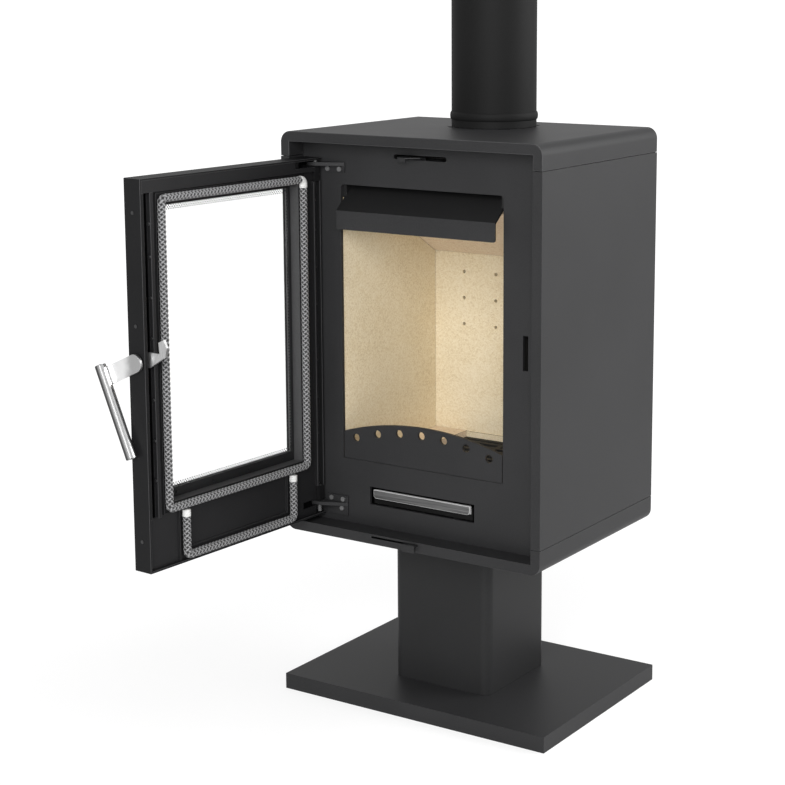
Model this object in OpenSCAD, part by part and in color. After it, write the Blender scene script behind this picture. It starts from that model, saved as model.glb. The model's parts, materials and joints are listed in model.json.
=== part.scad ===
// Steel box wood stove on a pedestal, with its glass door standing open.
// Millimetres.  The origin is the middle of the base plate's underside.
// +Z is up, the front faces -Y, and +X is to the right as seen from the front.

/* [Stand] */
// Width of the base plate
base_w = 456; // [400:1:520]
// Depth of the base plate
base_d = 336; // [280:1:400]
// Height of the base plate
base_h = 24; // [16:1:40]
// Sheet thickness of the base plate
base_sheet = 4; // [3:0.5:6]
// Width and depth of the pedestal column
column_w = 168; // [130:1:220]
// Outer radius of the column's corners
column_r = 15; // [8:1:30]
// Wall of the column
column_wall = 3; // [2:0.5:5]
// Height of the column
column_h = 232.5; // [150:0.5:400]
// Thickness of the column's end flanges
flange_t = 5; // [4:0.5:8]

/* [Casing] */
// Width of the casing
casing_w = 440; // [420:1:480]
// Depth of the casing
casing_d = 338; // [330:1:400]
// Height of the casing
casing_h = 598.5; // [590:0.5:650]
// Outer radius of the rounded edges
corner_r = 16; // [8:1:20]
// Casing sheet thickness
sheet = 2.5; // [1.5:0.5:3]
// Height of the lid's and the tray's skirts
cap_h = 36.5; // [33:0.5:42]
// Width of the frame around the door recess
frame_w = 15; // [12:0.5:18]
// Depth of the door recess
recess_d = 35; // [34:0.5:40]
// Width of the seams between the casing sheets
seam = 0.8; // [0.3:0.1:0.9]

/* [Firebox] */
// Thickness of the front plate
plate_t = 5; // [4:0.5:8]
// Thickness of the firebox steel
steel_t = 4; // [3:0.5:5]
// Width of the front plate beside the fire opening
jamb_w = 66.5; // [65:0.5:75]
// Height of the front plate above the fire opening
lintel_h = 62; // [60:0.5:80]
// Height of the opening's sill above the recess floor
sill_h = 98; // [94:0.5:104]
// Thickness of the lining boards
board_t = 22; // [20:1:23]
// Depth from the lined firebox to the casing's rear edge
rear_room = 51; // [48:1:70]
// Diameter of the flue pipe
flue_d = 127; // [110:1:140]
// Distance from the casing's rear edge to the flue's middle
flue_back = 103; // [95:1:125]
// Length of the flue pipe
flue_l = 250; // [200:10:500]
// Height of the log fence in its middle
fence_h = 62; // [50:1:70]
// Height of the ash pan
pan_h = 19; // [16:1:21]
// Width of the ash slot
ash_slot_w = 182; // [160:1:190]
// Height of the ash slot
ash_slot_h = 27; // [25:1:29]

/* [Door] */
// Gap between the recess wall and the door's hinge edge
door_gap_hinge = 21; // [20:0.5:24]
// Gap between the door's free edge and the recess wall
door_gap_free = 22.5; // [21:0.5:28]
// Gap under the door
door_gap_low = 8; // [4:0.5:12]
// Gap above the door, where the top air slot is
door_gap_top = 24; // [23:0.5:30]
// Thickness of the door's box
door_t = 30; // [26:0.5:30.5]
// Sheet thickness of the door
door_sheet = 3; // [2:0.5:3.5]
// Angle that the door stands open at
door_open = 93.4; // [80:0.1:94]
// Diameter of the hinge pins
pin_d = 6; // [5:0.5:7]
// Width of the metal beside and above the window, inside the frame
window_lip = 5; // [4:0.5:12]
// Width of the metal below the window, inside the frame
window_sill = 13.5; // [8:0.5:20]
// Thickness of the glass
glass_t = 4; // [3:0.5:5]
// Width of the sealing rope
rope_w = 12; // [9:0.5:12.5]

/* [Handle] */
// Diameter of the handle bar
bar_d = 15.5; // [12:0.5:18]
// Length of the handle bar
bar_l = 134; // [100:1:160]
// Distance from the handle's pivot to its bar
arm_l = 58.5; // [45:0.5:70]
// Width of the handle's arm
arm_w = 25; // [18:1:28]
// Diameter of the latch shaft
shaft_d = 10; // [8:0.5:12]
// Thickness of the latch hook
hook_t = 4; // [3:0.5:5]

/* [Hidden] */
$fn = 64;
eps = 0.01;
// Running clearance of a pin or shaft in its bush, on the radius
run_gap = 0.08;
// Clearance between sheets that slide or slip in
slip_gap = 0.3;
// Clearance of a screw in its hole, on the radius
hole_gap = 0.5;

// Heights of the casing
casing_z = base_h + column_h;
top_z = casing_z + casing_h;
low_seam_z = casing_z + cap_h;
high_seam_z = top_z - cap_h;
mid_z = casing_z + casing_h / 2;

// Depths of the casing
front_y = -casing_d / 2;
rear_y = casing_d / 2;
plate_y = front_y + recess_d;
plate_back_y = plate_y + plate_t;

// The door recess
recess_x = casing_w / 2 - frame_w;
recess_z0 = casing_z + frame_w;
recess_z1 = top_z - frame_w;

// The front plate laps behind the recess by this much on each side
plate_lap = 6;
// The rear panel is set this far in from the casing's rear edge
rear_set = 0.5;
rear_panel_y = rear_y - rear_set - sheet;
// Flange at the side panels' rear edge, and how far the seam strips reach past a seam
rear_flange = 14;
seam_lap = 9;

// The fire opening
sill_z = recess_z0 + sill_h;
opening_top_z = recess_z1 - lintel_h;
opening_w = 2 * (recess_x - jamb_w);
opening_r = 6;

// The lined firebox
lining_x = opening_w / 2 + 1;
lining_out_x = lining_x + board_t;
steel_x = lining_out_x + 0.5;
steel_out_x = steel_x + steel_t;
lining_back_y = rear_y - rear_room;
board_rear_y = lining_back_y + board_t;
steel_back_y = board_rear_y + 0.5;
steel_rear_y = steel_back_y + steel_t;
// The base bricks and the floor under them, measured down from the sill
brick_below = 3;
brick_top_z = sill_z - brick_below;
brick_t = 21;
floor_top_z = brick_top_z - brick_t;
floor_z = floor_top_z - steel_t;
fire_top_up = 34;
fire_top_z = opening_top_z + fire_top_up;
// Joint between neighbouring bricks and boards
brick_joint = 0.3;
// Feet under the floor plate
foot_w = 30;
foot_t = 3;
foot_in = 20;
foot_front = 12;
foot_rear = 4;
// The grate lies on the floor plate between the bricks
grate_w = 160;
grate_d = 160;
grate_t = 12;
rear_brick_d = 4;
grate_y0 = lining_back_y - rear_brick_d - grate_d;
grate_y1 = grate_y0 + grate_d;
grate_bar = 9;
grate_pitch = 20;
grate_rim = 9;
grate_seat = 6;
// The front brick leaves room behind the sill for the fence's tabs
tab_room = 4;
brick_front_y = plate_back_y + tab_room;
// The baffle board rises towards the front at this angle
baffle_angle = 30.5;
baffle_drop = 127.5;
baffle_seat_z = opening_top_z - baffle_drop;
baffle_run = 148;
baffle_front_y = lining_back_y - baffle_run;
board_step = 3;
board_step_y = baffle_front_y - board_step;
board_up = 12;
board_top_z = opening_top_z + board_up;
air_hole_d = 5.5;
air_hole_x = [-86, -28, 28, 86];
air_hole_down = [30, 71.5, 113];

// Log fence
fence_side = 1.5;
fence_gap = 0.5;
fence_rise = 21.5;
fence_r = 9;
fence_hole_d = 12;
fence_holes = [[0, 12], [38.5, 14], [77, 19.5], [115.5, 29.5]];
fence_tab_x = 55;
fence_tab_w = 20;
fence_tab_t = 3;
fence_tab_down = 15;

// Flue
flue_y = rear_y - flue_back;
flue_wall = 2;
collar_wall = 3;
collar_up = 40;
collar_r = flue_d / 2 - flue_wall - slip_gap;
collar_z0 = fire_top_z + steel_t;
flue_z0 = top_z + 0.5;
bead_z = 10;
bead_h = 12;
bead_out = 2.2;
bead_steps = 8;
notch_w = 18;
notch_out = 6;

// Ash box, slot and pan
ash_slot_up = 33;
ash_slot_z0 = recess_z0 + ash_slot_up;
ash_slot_z1 = ash_slot_z0 + ash_slot_h;
ash_wall = 3;
ash_room = 8;
ash_box_x = ash_slot_w / 2 + ash_room;
ash_below = 9;
ash_box_z = ash_slot_z0 - ash_below;
ash_box_short = 4;
ash_box_y1 = lining_back_y - ash_box_short;
runner_w = 8;
pan_side = 5;
pan_w = ash_slot_w - 2 * pan_side;
pan_wall = 1.5;
pan_up = 1.5;
pan_z = ash_slot_z0 + pan_up;
pan_in = 4;
pan_y0 = plate_y + pan_in;
pan_rear_room = 6;
pan_y1 = ash_box_y1 - ash_wall - pan_rear_room;
// The pan's front strip, with a lip folded over at its top and bottom
strip_short = 2;
strip_w = pan_w - 2 * strip_short;
strip_h = 13;
strip_t = 1.5;
strip_up = 9;
strip_z = pan_z + strip_up;
strip_out = 1;
strip_r = 5;

// Deflector behind the top of the opening
deflector_side = 3.5;
deflector_w = opening_w - 2 * deflector_side;
deflector_out = 17;
deflector_y = plate_y - deflector_out;
deflector_t = 3;
deflector_down = 37;
deflector_fold_z = opening_top_z - deflector_down;
deflector_lip = 26.5;
deflector_slope = 38;
deflector_run = 47;
deflector_r = 3.5;
duct_sheet = 2;
duct_x = 120;
duct_up = 10;
duct_z = opening_top_z + duct_up;
duct_d = 46;
duct_y1 = plate_back_y + duct_d;
duct_slot_d = 14;
duct_slot_side = 12;

// Top air control
top_slot_w = 90;
top_slot_h = 6.5;
top_slot_down = 17.2;
top_slot_z = recess_z1 - top_slot_down;
slide_t = 2;
slide_gap = 0.2;
top_slide_w = 150;
top_slide_in = 6;
top_slide_y0 = plate_back_y + top_slide_in;
top_slide_d = 33;
top_slide_y1 = top_slide_y0 + top_slide_d;
top_slide_z = fire_top_z + steel_t + slide_gap;
top_travel = 42;
rail_t = 3;
rail_cap = 2;
rail_gap = 0.3;
rail_x = top_slide_w / 2 + top_travel + rail_t;
rail_foot = 24;
top_tab_z = top_slot_z - slide_t / 2;
top_tab_x0 = -38;
top_tab_x1 = 2;
top_tip_x0 = -28;
top_tip_x1 = -15;
top_tab_out = 15;
top_tab_straight = 2;
top_tip_y = plate_y - top_tab_out;
top_tip_drop = 4;
vent_w = 30;
vent_pitch = 50;
vent_d = 14;
vent_y = (top_slide_y0 + top_slide_y1) / 2;

// Bottom air control
low_slot_x0 = -65;
low_slot_x1 = 17;
low_slot_h = 3.2;
low_slot_up = 9.1;
low_slot_z = casing_z + low_slot_up;
low_tab_x0 = -6;
low_tab_x1 = 15;
low_tab_out = 7;
low_tab_y = front_y - low_tab_out;
low_tab_up = 0.6;
low_tab_z0 = casing_z + low_tab_up;
low_slide_up = 0.6;
low_slide_z = low_slot_z + low_slide_up;
low_plate_x0 = -60;
low_plate_x1 = 56;
low_plate_in = 8;
low_plate_d = 32;
low_plate_y0 = plate_back_y + low_plate_in;
low_plate_y1 = low_plate_y0 + low_plate_d;
seat_wall = 7;
seat_end = 4;
low_travel = 46;
inlet_w = 44;

// Door, drawn in its closed place
door_proud = 1;
door_x0 = -recess_x + door_gap_hinge;
door_x1 = recess_x - door_gap_free;
door_z0 = recess_z0 + door_gap_low;
door_z1 = recess_z1 - door_gap_top;
door_y0 = front_y - door_proud;
door_y1 = door_y0 + door_t;
panel_y = door_y0 + door_sheet;
// The hinge pins stand this far from the door's hinge edge and inner face
pin_in = 8;
pin_deep = 5;
pin_x = door_x0 + pin_in;
pin_y = door_y1 - pin_deep;
edge_flange = 6;
// Base sheet of the inner frame and the raised faces on it
frame_sheet = 2;
frame_deep = 8.5;
frame_y0 = door_y1 - frame_deep;
frame_y1 = frame_y0 + frame_sheet;
raised_y = door_y1 - frame_sheet;
frame_in = 14;
frame_short = 18;
frame_x0 = door_x0 + frame_in;
frame_x1 = door_x1 - frame_short;
frame_z0 = door_z0 + door_sheet;
frame_z1 = door_z1 - door_sheet;
channel_down = 19.5;
channel_z1 = door_z1 - channel_down;
rib_w = 6;
rib_h = 6;
hinge_rib_w = 3;
// Rope centre lines and their channels
rope_wall = 1.5;
rope_r = rope_w / 2;
rope_thin = 0.2;
rope_y = frame_y1 + rope_r + 0.1;
rope_side = 5;
rope_below = 7.5;
rope_above = 9;
rope_x = opening_w / 2 + rope_side;
rope_z0 = sill_z - rope_below;
rope_z1 = opening_top_z + rope_above;
rope_bend = 6.1;
ash_rope_side = 20.5;
ash_rope_up = 9.5;
ash_rope_x = ash_slot_w / 2 + ash_rope_side;
ash_rope_z = door_z0 + ash_rope_up;
channel_z0 = rope_z0 - rope_r - rope_wall - 0.5;
// The channels' walls end below the door's inner face, and stand off the ash rope
wall_down = 3.5;
wall_y = door_y1 - wall_down;
ash_gap = 3;
// Tape on the ash rope's ends, and beside and below the main rope's corner
tape_l = 9;
tape_side = 1;
tape_down = 5.5;
tape_out = 0.1;
// The walls around the glass stand on the door's front panel
reveal_x = rope_x - rope_r - rope_wall;
reveal_z0 = rope_z0 + rope_r + rope_wall;
reveal_z1 = rope_z1 - rope_r - rope_wall;
window_x = reveal_x - window_lip;
window_z1 = reveal_z1 - window_lip;
window_z0 = reveal_z0 + window_sill;
gasket_t = 2;
retainer_t = 2;
glass_gap = 0.5;
glass_y0 = panel_y + gasket_t;
glass_y1 = glass_y0 + glass_t;

// Latch and handle, drawn closed; the arm is level before it is let down
handle_up = 21.75;
pivot_z = (door_z0 + door_z1) / 2 + handle_up;
pivot_y = door_y0 + door_t / 2;
hook_in = 10.6;
hook_x0 = door_x1 - hook_in;
hook_x1 = hook_x0 + hook_t;
hub_r = 9;
arm_t = 5;
arm_gap = 1;
arm_x = door_x1 + arm_gap;
bar_gap = 1;
bar_x = arm_x + bar_gap + bar_d / 2;
bar_up = 17.5;
arm_droop = 24.4;
shaft_gap = 0.1;
bush_r = shaft_d / 2 + 2.5;
latch_slot_w = 8.4;
latch_side = 0.9;
latch_slot_x = hook_x0 + hook_t / 2 + latch_side;
latch_slot_down = 33.5;
latch_slot_up = 15.9;
latch_slot_z0 = pivot_z - latch_slot_down;
latch_slot_z1 = pivot_z + latch_slot_up;

// Hinge brackets on the front plate
tongue_t = 5;
low_tongue_up = 16.5;
high_tongue_down = 10.8;
low_tongue_z = door_z0 + low_tongue_up;
high_tongue_z = door_z1 - high_tongue_down;
washer_gap = 0.8;
lug_l = 22;
lug_w = 11;
// The door's hinge edge runs between the lugs
hinge_edge_z0 = low_tongue_z + tongue_t + washer_gap + lug_l;
hinge_edge_z1 = high_tongue_z - washer_gap - lug_l;
lug_gap = 1;
hinge_rib_z0 = hinge_edge_z0 + lug_gap;
hinge_rib_z1 = hinge_edge_z1 - lug_gap;
bracket_w = 46;
bracket_x1 = pin_x + bracket_w;
bracket_t = 2.5;
bracket_near = 8;
bracket_x0 = pin_x + bracket_near;
low_flange_up = 10;
low_flange_down = 15;
high_flange_h = 9.5;
tongue_root = 5;
tongue_nose = 8;
tongue_reach = 9;
tongue_tail = 13;
bracket_screw_x = [16.5, 37.5];
bracket_head = 7;
// The bottom bracket's screws: two above its tongue and one below
low_screw_above = 4.6;
low_screw_below = 4.2;
low_screw_x = 35.5;
bracket_room = 4;
// Room in the door's frame for a tongue while the door is shut
tongue_room = 2.5;

// Fasteners
screw_d = 5;
screw_head_h = 1.8;
small_head = 5;
bolt_d = 8;
bolt_head = 13;
bolt_head_h = 5;
// Heights of the small screws from the handle's pivot, and of the edge screws from the corners
channel_screw_up = [-163.5, -108.5, -52.5, 31.5, 86.5, 141.5, 185.5];
// The hinge side's rib has one more screw, this far above its lower end
low_screw_up = 5;
edge_screw_low = 43;
edge_screw_mid = 49.5;
edge_screw_high = 45.5;
glass_screw_side = 26;
rear_screw_d = 4;
rear_screw_head = 8;
rear_screw_l = 9;
rear_screw_in = 7;
rear_screw_end = 20;
// Vent slots of the rear panel
vent_slot_w = 110;
vent_slot_h = 6;
vent_block_x = 80;
vent_down = 42;
vent_step = 16;
under_t = 3;
bolt_inset = 30;
hole_r_gap = 0.4;

// ---------------------------------------------------------------- helpers

// A box from its lowest to its highest corner.
module block(lo, hi) {
  translate(lo) cube(hi - lo);
}

// Moves a shape drawn in the XZ plane to lie from y0 to y1.
module front_slab(y0, y1) {
  translate([0, y1, 0]) rotate([90, 0, 0]) linear_extrude(y1 - y0) children();
}

// A flat rectangle with four rounded corners, from x0, z0 to x1, z1.
module round_rect(x0, z0, x1, z1, r) {
  translate([x0 + r, z0]) square([x1 - x0 - 2 * r, z1 - z0]);
  translate([x0, z0 + r]) square([x1 - x0, z1 - z0 - 2 * r]);
  for (x = [x0 + r, x1 - r])
    for (z = [z0 + r, z1 - r])
      translate([x, z]) circle(r);
}

// A flat rectangle with square corners, from x0, z0 to x1, z1.
module flat_rect(x0, z0, x1, z1) {
  translate([x0, z0]) square([x1 - x0, z1 - z0]);
}

// A screw or bolt along an axis that points out of its head.
module screw(d, head_d, head_h, l) {
  translate([0, 0, -l]) cylinder(d = d, h = l + eps);
  cylinder(d = head_d, h = head_h);
}

// Everything on the door: drawn closed and swung open about the hinge pins.
module swung() {
  translate([pin_x, pin_y, 0]) rotate([0, 0, -door_open])
    translate([-pin_x, -pin_y, 0]) children();
}

// Everything that turns with the handle: level arm drawn first, then let down.
module drooped() {
  translate([0, pivot_y, pivot_z]) rotate([arm_droop, 0, 0])
    translate([0, -pivot_y, -pivot_z]) children();
}

// Moves a shape drawn in the YZ plane to lie from x0 to x1.
module side_slab(x0, x1) {
  translate([x0, 0, 0]) rotate([90, 0, 90]) linear_extrude(x1 - x0) children();
}

// A flat casing outline: the rectangle with rounded corners, set in by inset.
module casing_outline(inset) {
  round_rect(-casing_w / 2 + inset, casing_z + inset, casing_w / 2 - inset, top_z - inset,
    corner_r - inset);
}

// The whole casing wrapper, before the seams divide it into tray, sides and lid.
module casing_wrapper() {
  front_slab(front_y, rear_y) difference() {
    casing_outline(0);
    casing_outline(sheet);
  }
  front_slab(front_y, front_y + sheet) difference() {
    casing_outline(0);
    flat_rect(-recess_x, recess_z0, recess_x, recess_z1);
  }
  front_slab(front_y, plate_y) difference() {
    flat_rect(-recess_x - sheet, recess_z0 - sheet, recess_x + sheet, recess_z1 + sheet);
    flat_rect(-recess_x, recess_z0, recess_x, recess_z1);
  }
}

// The slice of the wrapper between two heights.
module wrapper_slice(z0, z1) {
  intersection() {
    casing_wrapper();
    block([-casing_w, front_y - 1, z0], [casing_w, rear_y + 1, z1]);
  }
}

// Positions of the four bolts around the column's middle.
module at_column_bolts(z) {
  b = column_w / 2 - bolt_inset;
  for (x = [-b, b])
    for (y = [-b, b])
      translate([x, y, z]) children();
}

// ---------------------------------------------------------------- stand

// Base plate: a folded sheet with a skirt all round.
module base_plate() {
  color("dimgray") difference() {
    block([-base_w / 2, -base_d / 2, 0], [base_w / 2, base_d / 2, base_h]);
    block([-base_w / 2 + base_sheet, -base_d / 2 + base_sheet, -1],
      [base_w / 2 - base_sheet, base_d / 2 - base_sheet, base_h - base_sheet]);
    at_column_bolts(0) cylinder(d = bolt_d + 2 * hole_r_gap, h = base_h + 1);
  }
}

// Sheet that closes the base plate from below and stands on the floor with it.
module base_underplate() {
  inset = base_sheet + slip_gap;
  color("dimgray") block([-base_w / 2 + inset, -base_d / 2 + inset, 0],
    [base_w / 2 - inset, base_d / 2 - inset, under_t]);
}

// Column: square tube with a flange inside each end.
module pedestal_column() {
  w = column_w / 2;
  color("dimgray") translate([0, 0, base_h]) difference() {
    linear_extrude(column_h) round_rect(-w, -w, w, w, column_r);
    translate([0, 0, flange_t]) linear_extrude(column_h - 2 * flange_t)
      round_rect(-w + column_wall, -w + column_wall, w - column_wall, w - column_wall,
        column_r - column_wall);
    translate([0, 0, -1]) linear_extrude(column_h + 2)
      round_rect(-w / 3, -w / 3, w / 3, w / 3, column_r - column_wall);
    translate([0, 0, -base_h]) at_column_bolts(0)
      cylinder(d = bolt_d + 2 * hole_r_gap, h = top_z);
  }
}

// Bolts at both ends of the column: up through the base plate, and down through the tray.
module column_bolts() {
  color("silver") {
    at_column_bolts(base_h - base_sheet) rotate([180, 0, 0])
      screw(bolt_d, bolt_head, bolt_head_h, base_sheet + flange_t + 2);
    at_column_bolts(casing_z + sheet)
      screw(bolt_d, bolt_head, bolt_head_h, sheet + flange_t + 2);
  }
}

// ---------------------------------------------------------------- casing

// Bottom tray with the slot of the bottom air control in its front lip.
module bottom_tray() {
  color("dimgray") difference() {
    wrapper_slice(casing_z - 1, low_seam_z - seam / 2);
    at_column_bolts(0) cylinder(d = bolt_d + 2 * hole_r_gap, h = low_seam_z);
    block([low_slot_x0, front_y - 1, low_slot_z],
      [low_slot_x1, front_y + sheet + 1, low_slot_z + low_slot_h]);
    block([-inlet_w / 2, low_plate_y0 + seat_wall, casing_z - 1],
      [inlet_w / 2, low_plate_y1 - seat_wall, casing_z + sheet + 1]);
  }
}

// One side panel, drawn on the right.  Strips behind its ends close the seams.
module side_panel() {
  strip_x = casing_w / 2 - sheet;
  difference() {
    wrapper_slice(low_seam_z + seam / 2, high_seam_z - seam / 2);
    block([-casing_w, front_y - 1, casing_z], [0, rear_y + 1, top_z]);
  }
  difference() {
    block([strip_x - rear_flange, rear_panel_y - sheet, low_seam_z + seam / 2],
      [strip_x, rear_panel_y, high_seam_z - seam / 2]);
    at_rear_screws() rear_screw_bore();
  }
  for (z = [low_seam_z, high_seam_z])
    block([strip_x - sheet, front_y + sheet, z - seam_lap],
      [strip_x, rear_panel_y - sheet, z + seam_lap]);
}

module side_panel_right() {
  color("dimgray") side_panel();
}

module side_panel_left() {
  color("dimgray") mirror([1, 0, 0]) side_panel();
}

// Lid with the hole for the flue collar and four small notches beside it.
module top_lid() {
  color("dimgray") difference() {
    wrapper_slice(high_seam_z + seam / 2, top_z + 1);
    translate([0, flue_y, high_seam_z]) cylinder(r = collar_r + 1, h = cap_h + 1);
    for (a = [45, 135])
      translate([0, flue_y, high_seam_z]) rotate([0, 0, a])
        block([-flue_d / 2 - notch_out, -notch_w / 2, 0],
          [flue_d / 2 + notch_out, notch_w / 2, cap_h + 1]);
  }
}

// Screw places on the rear panel.
module at_rear_screws() {
  x = casing_w / 2 - sheet - slip_gap - rear_screw_in;
  for (x = [-x, x])
    for (z = [low_seam_z + rear_screw_end, mid_z, high_seam_z - rear_screw_end])
      translate([x, rear_panel_y + sheet, z]) rotate([-90, 0, 0]) children();
}

// Bore for one rear screw.
module rear_screw_bore() {
  translate([0, 0, -3 * sheet]) cylinder(d = rear_screw_d + 2 * hole_gap, h = 4 * sheet);
}

// Rear panel with two blocks of vent slots.
module rear_panel() {
  x = casing_w / 2 - sheet - slip_gap;
  z0 = casing_z + sheet + slip_gap;
  z1 = top_z - sheet - slip_gap;
  color("gray") difference() {
    front_slab(rear_panel_y, rear_panel_y + sheet)
      round_rect(-x, z0, x, z1, corner_r - sheet);
    for (i = [0:3])
      for (s = [-1, 1])
        translate([s * vent_block_x, 0, z1 - vent_down - i * vent_step])
          front_slab(rear_panel_y - 1, rear_y)
            round_rect(-vent_slot_w / 2, 0, vent_slot_w / 2, vent_slot_h, vent_slot_h / 2 - 0.1);
    at_rear_screws() rear_screw_bore();
  }
}

// Screws of the rear panel.
module rear_panel_screws() {
  color("silver") at_rear_screws() screw(rear_screw_d, rear_screw_head, 2, rear_screw_l);
}

// ---------------------------------------------------------------- firebox

// Front plate with the fire opening, the latch slot, the ash slot and the air slot.
module front_plate() {
  x = recess_x + plate_lap;
  color("dimgray") front_slab(plate_y, plate_back_y) difference() {
    flat_rect(-x, recess_z0 - sheet, x, recess_z1 + plate_lap);
    union() {
      flat_rect(-opening_w / 2, sill_z, opening_w / 2, opening_top_z - opening_r);
      round_rect(-opening_w / 2, sill_z + 50, opening_w / 2, opening_top_z, opening_r);
    }
    flat_rect(-ash_slot_w / 2, ash_slot_z0, ash_slot_w / 2, ash_slot_z1);
    round_rect(-top_slot_w / 2, top_slot_z - top_slot_h / 2, top_slot_w / 2,
      top_slot_z + top_slot_h / 2, top_slot_h / 2 - 0.05);
    flat_rect(latch_slot_x - latch_slot_w / 2, latch_slot_z0,
      latch_slot_x + latch_slot_w / 2, latch_slot_z1);
  }
}

// One steel side of the firebox, drawn on the right.
module firebox_side() {
  block([steel_x, plate_back_y, floor_z], [steel_out_x, steel_rear_y, fire_top_z]);
}

module firebox_side_right() {
  color("gray") firebox_side();
}

module firebox_side_left() {
  color("gray") mirror([1, 0, 0]) firebox_side();
}

// Steel back of the firebox.
module firebox_back() {
  color("gray") block([-steel_x, steel_back_y, floor_z], [steel_x, steel_rear_y, fire_top_z]);
}

// Steel top of the firebox with the flue hole and the vents of the top air control.
module firebox_top() {
  color("gray") difference() {
    block([-steel_out_x, plate_back_y, fire_top_z],
      [steel_out_x, steel_rear_y, fire_top_z + steel_t]);
    translate([0, flue_y, fire_top_z - 1]) cylinder(r = collar_r - collar_wall, h = steel_t + 2);
    for (i = [-1:1])
      block([i * vent_pitch - vent_w / 2, vent_y - vent_d / 2, fire_top_z - 1],
        [i * vent_pitch + vent_w / 2, vent_y + vent_d / 2, fire_top_z + steel_t + 1]);
  }
}

// Steel floor of the firebox with the ash hole under the grate.
module firebox_floor() {
  color("gray") difference() {
    block([-steel_x, plate_back_y, floor_z], [steel_x, steel_back_y, floor_top_z]);
    block([-grate_w / 2 + grate_seat, grate_y0 + grate_seat, floor_z - 1],
      [grate_w / 2 - grate_seat, grate_y1 - grate_seat, floor_top_z + 1]);
  }
}

// Box under the floor that the ash pan slides in, with two runners.
module ash_box() {
  color("gray") {
    difference() {
      block([-ash_box_x, plate_back_y, ash_box_z], [ash_box_x, ash_box_y1, floor_z]);
      block([-ash_box_x + ash_wall, plate_back_y - 1, ash_box_z + ash_wall],
        [ash_box_x - ash_wall, ash_box_y1 - ash_wall, floor_z + 1]);
    }
    for (s = [-1, 1])
      block([s * pan_w / 3 - runner_w / 2, plate_back_y, ash_box_z],
        [s * pan_w / 3 + runner_w / 2, ash_box_y1 - ash_wall, pan_z]);
  }
}

// Four feet between the tray and the firebox floor.
module firebox_feet() {
  x = steel_x - foot_in;
  z0 = casing_z + sheet;
  color("gray")
    for (s = [-1, 1])
      for (y = [plate_back_y + foot_front, steel_rear_y - foot_w - foot_rear]) {
        block([s * x - foot_t / 2, y, z0], [s * x + foot_t / 2, y + foot_w, floor_z]);
        block([s * x - foot_w / 2, y, z0], [s * x + foot_w / 2, y + foot_w, z0 + foot_t]);
        block([s * x - foot_w / 2, y, floor_z - foot_t], [s * x + foot_w / 2, y + foot_w, floor_z]);
      }
}

// Duct behind the front plate that leads air down onto the glass.
module airwash_duct() {
  color("gray") difference() {
    block([-duct_x, plate_back_y, duct_z], [duct_x, duct_y1, fire_top_z]);
    block([-duct_x + duct_sheet, plate_back_y - 1, duct_z + duct_sheet],
      [duct_x - duct_sheet, duct_y1 - duct_sheet, fire_top_z + 1]);
    block([-duct_x + duct_slot_side, plate_back_y - 1, duct_z - 1],
      [duct_x - duct_slot_side, plate_back_y + duct_slot_d, duct_z + duct_sheet + 1]);
  }
}

// Bent deflector that turns the air towards the glass.  Behind the front plate a cheek at each
// end closes the way to the lining.
module deflector() {
  w = deflector_w / 2;
  cheek_x = lining_x - slip_gap;
  low_z = deflector_fold_z - deflector_lip;
  cheek_y = plate_back_y + slip_gap;
  cheek_z = deflector_fold_z + (cheek_y - deflector_y) * tan(deflector_slope);
  back_y = deflector_y + deflector_run;
  back_z = deflector_fold_z + deflector_run * tan(deflector_slope);
  color("dimgray") {
    intersection() {
      bent_sheet(-w, w);
      front_slab(deflector_y - 1, back_y + 1)
        round_rect(-w, low_z, w, duct_z + 2 * deflector_r, deflector_r);
    }
    for (x = [[-cheek_x, -w + deflector_t], [w - deflector_t, cheek_x]])
      side_slab(x[0], x[1])
        polygon([[cheek_y, cheek_z], [back_y, back_z], [back_y, duct_z], [cheek_y, duct_z]]);
  }
}

// The deflector's section: a lip, a slope and an upright, from x0 to x1.
module bent_sheet(x0, x1) {
  rise = deflector_run * tan(deflector_slope);
  up = deflector_t / cos(deflector_slope);
  back_y = deflector_y + deflector_run;
  side_slab(x0, x1) polygon([
    [deflector_y, deflector_fold_z - deflector_lip],
    [deflector_y + deflector_t, deflector_fold_z - deflector_lip],
    [deflector_y + deflector_t, deflector_fold_z - deflector_t / 3],
    [back_y, deflector_fold_z + rise - deflector_t / 3 - up / 2],
    [back_y, duct_z],
    [back_y - deflector_t, duct_z],
    [back_y - deflector_t, deflector_fold_z + rise + up / 3],
    [deflector_y, deflector_fold_z + deflector_t / 3]
  ]);
}

// One side board of the lining, drawn on the right; its rear top carries the baffle.
module side_board() {
  slope = tan(baffle_angle);
  side_slab(lining_x, lining_out_x) polygon([
    [plate_back_y, floor_top_z],
    [lining_back_y - brick_joint, floor_top_z],
    [lining_back_y - brick_joint, baffle_seat_z],
    [board_step_y, baffle_seat_z + (lining_back_y - board_step_y) * slope],
    [board_step_y, board_top_z],
    [plate_back_y, board_top_z]
  ]);
}

module lining_right() {
  color("tan") side_board();
}

module lining_left() {
  color("tan") mirror([1, 0, 0]) side_board();
}

// Back board with rows of air holes.
module lining_back() {
  color("tan") front_slab(lining_back_y, board_rear_y) difference() {
    flat_rect(-lining_out_x, floor_top_z, lining_out_x, baffle_seat_z);
    for (x = air_hole_x)
      for (down = air_hole_down)
        translate([x, baffle_seat_z - down]) circle(d = air_hole_d);
  }
}

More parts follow.
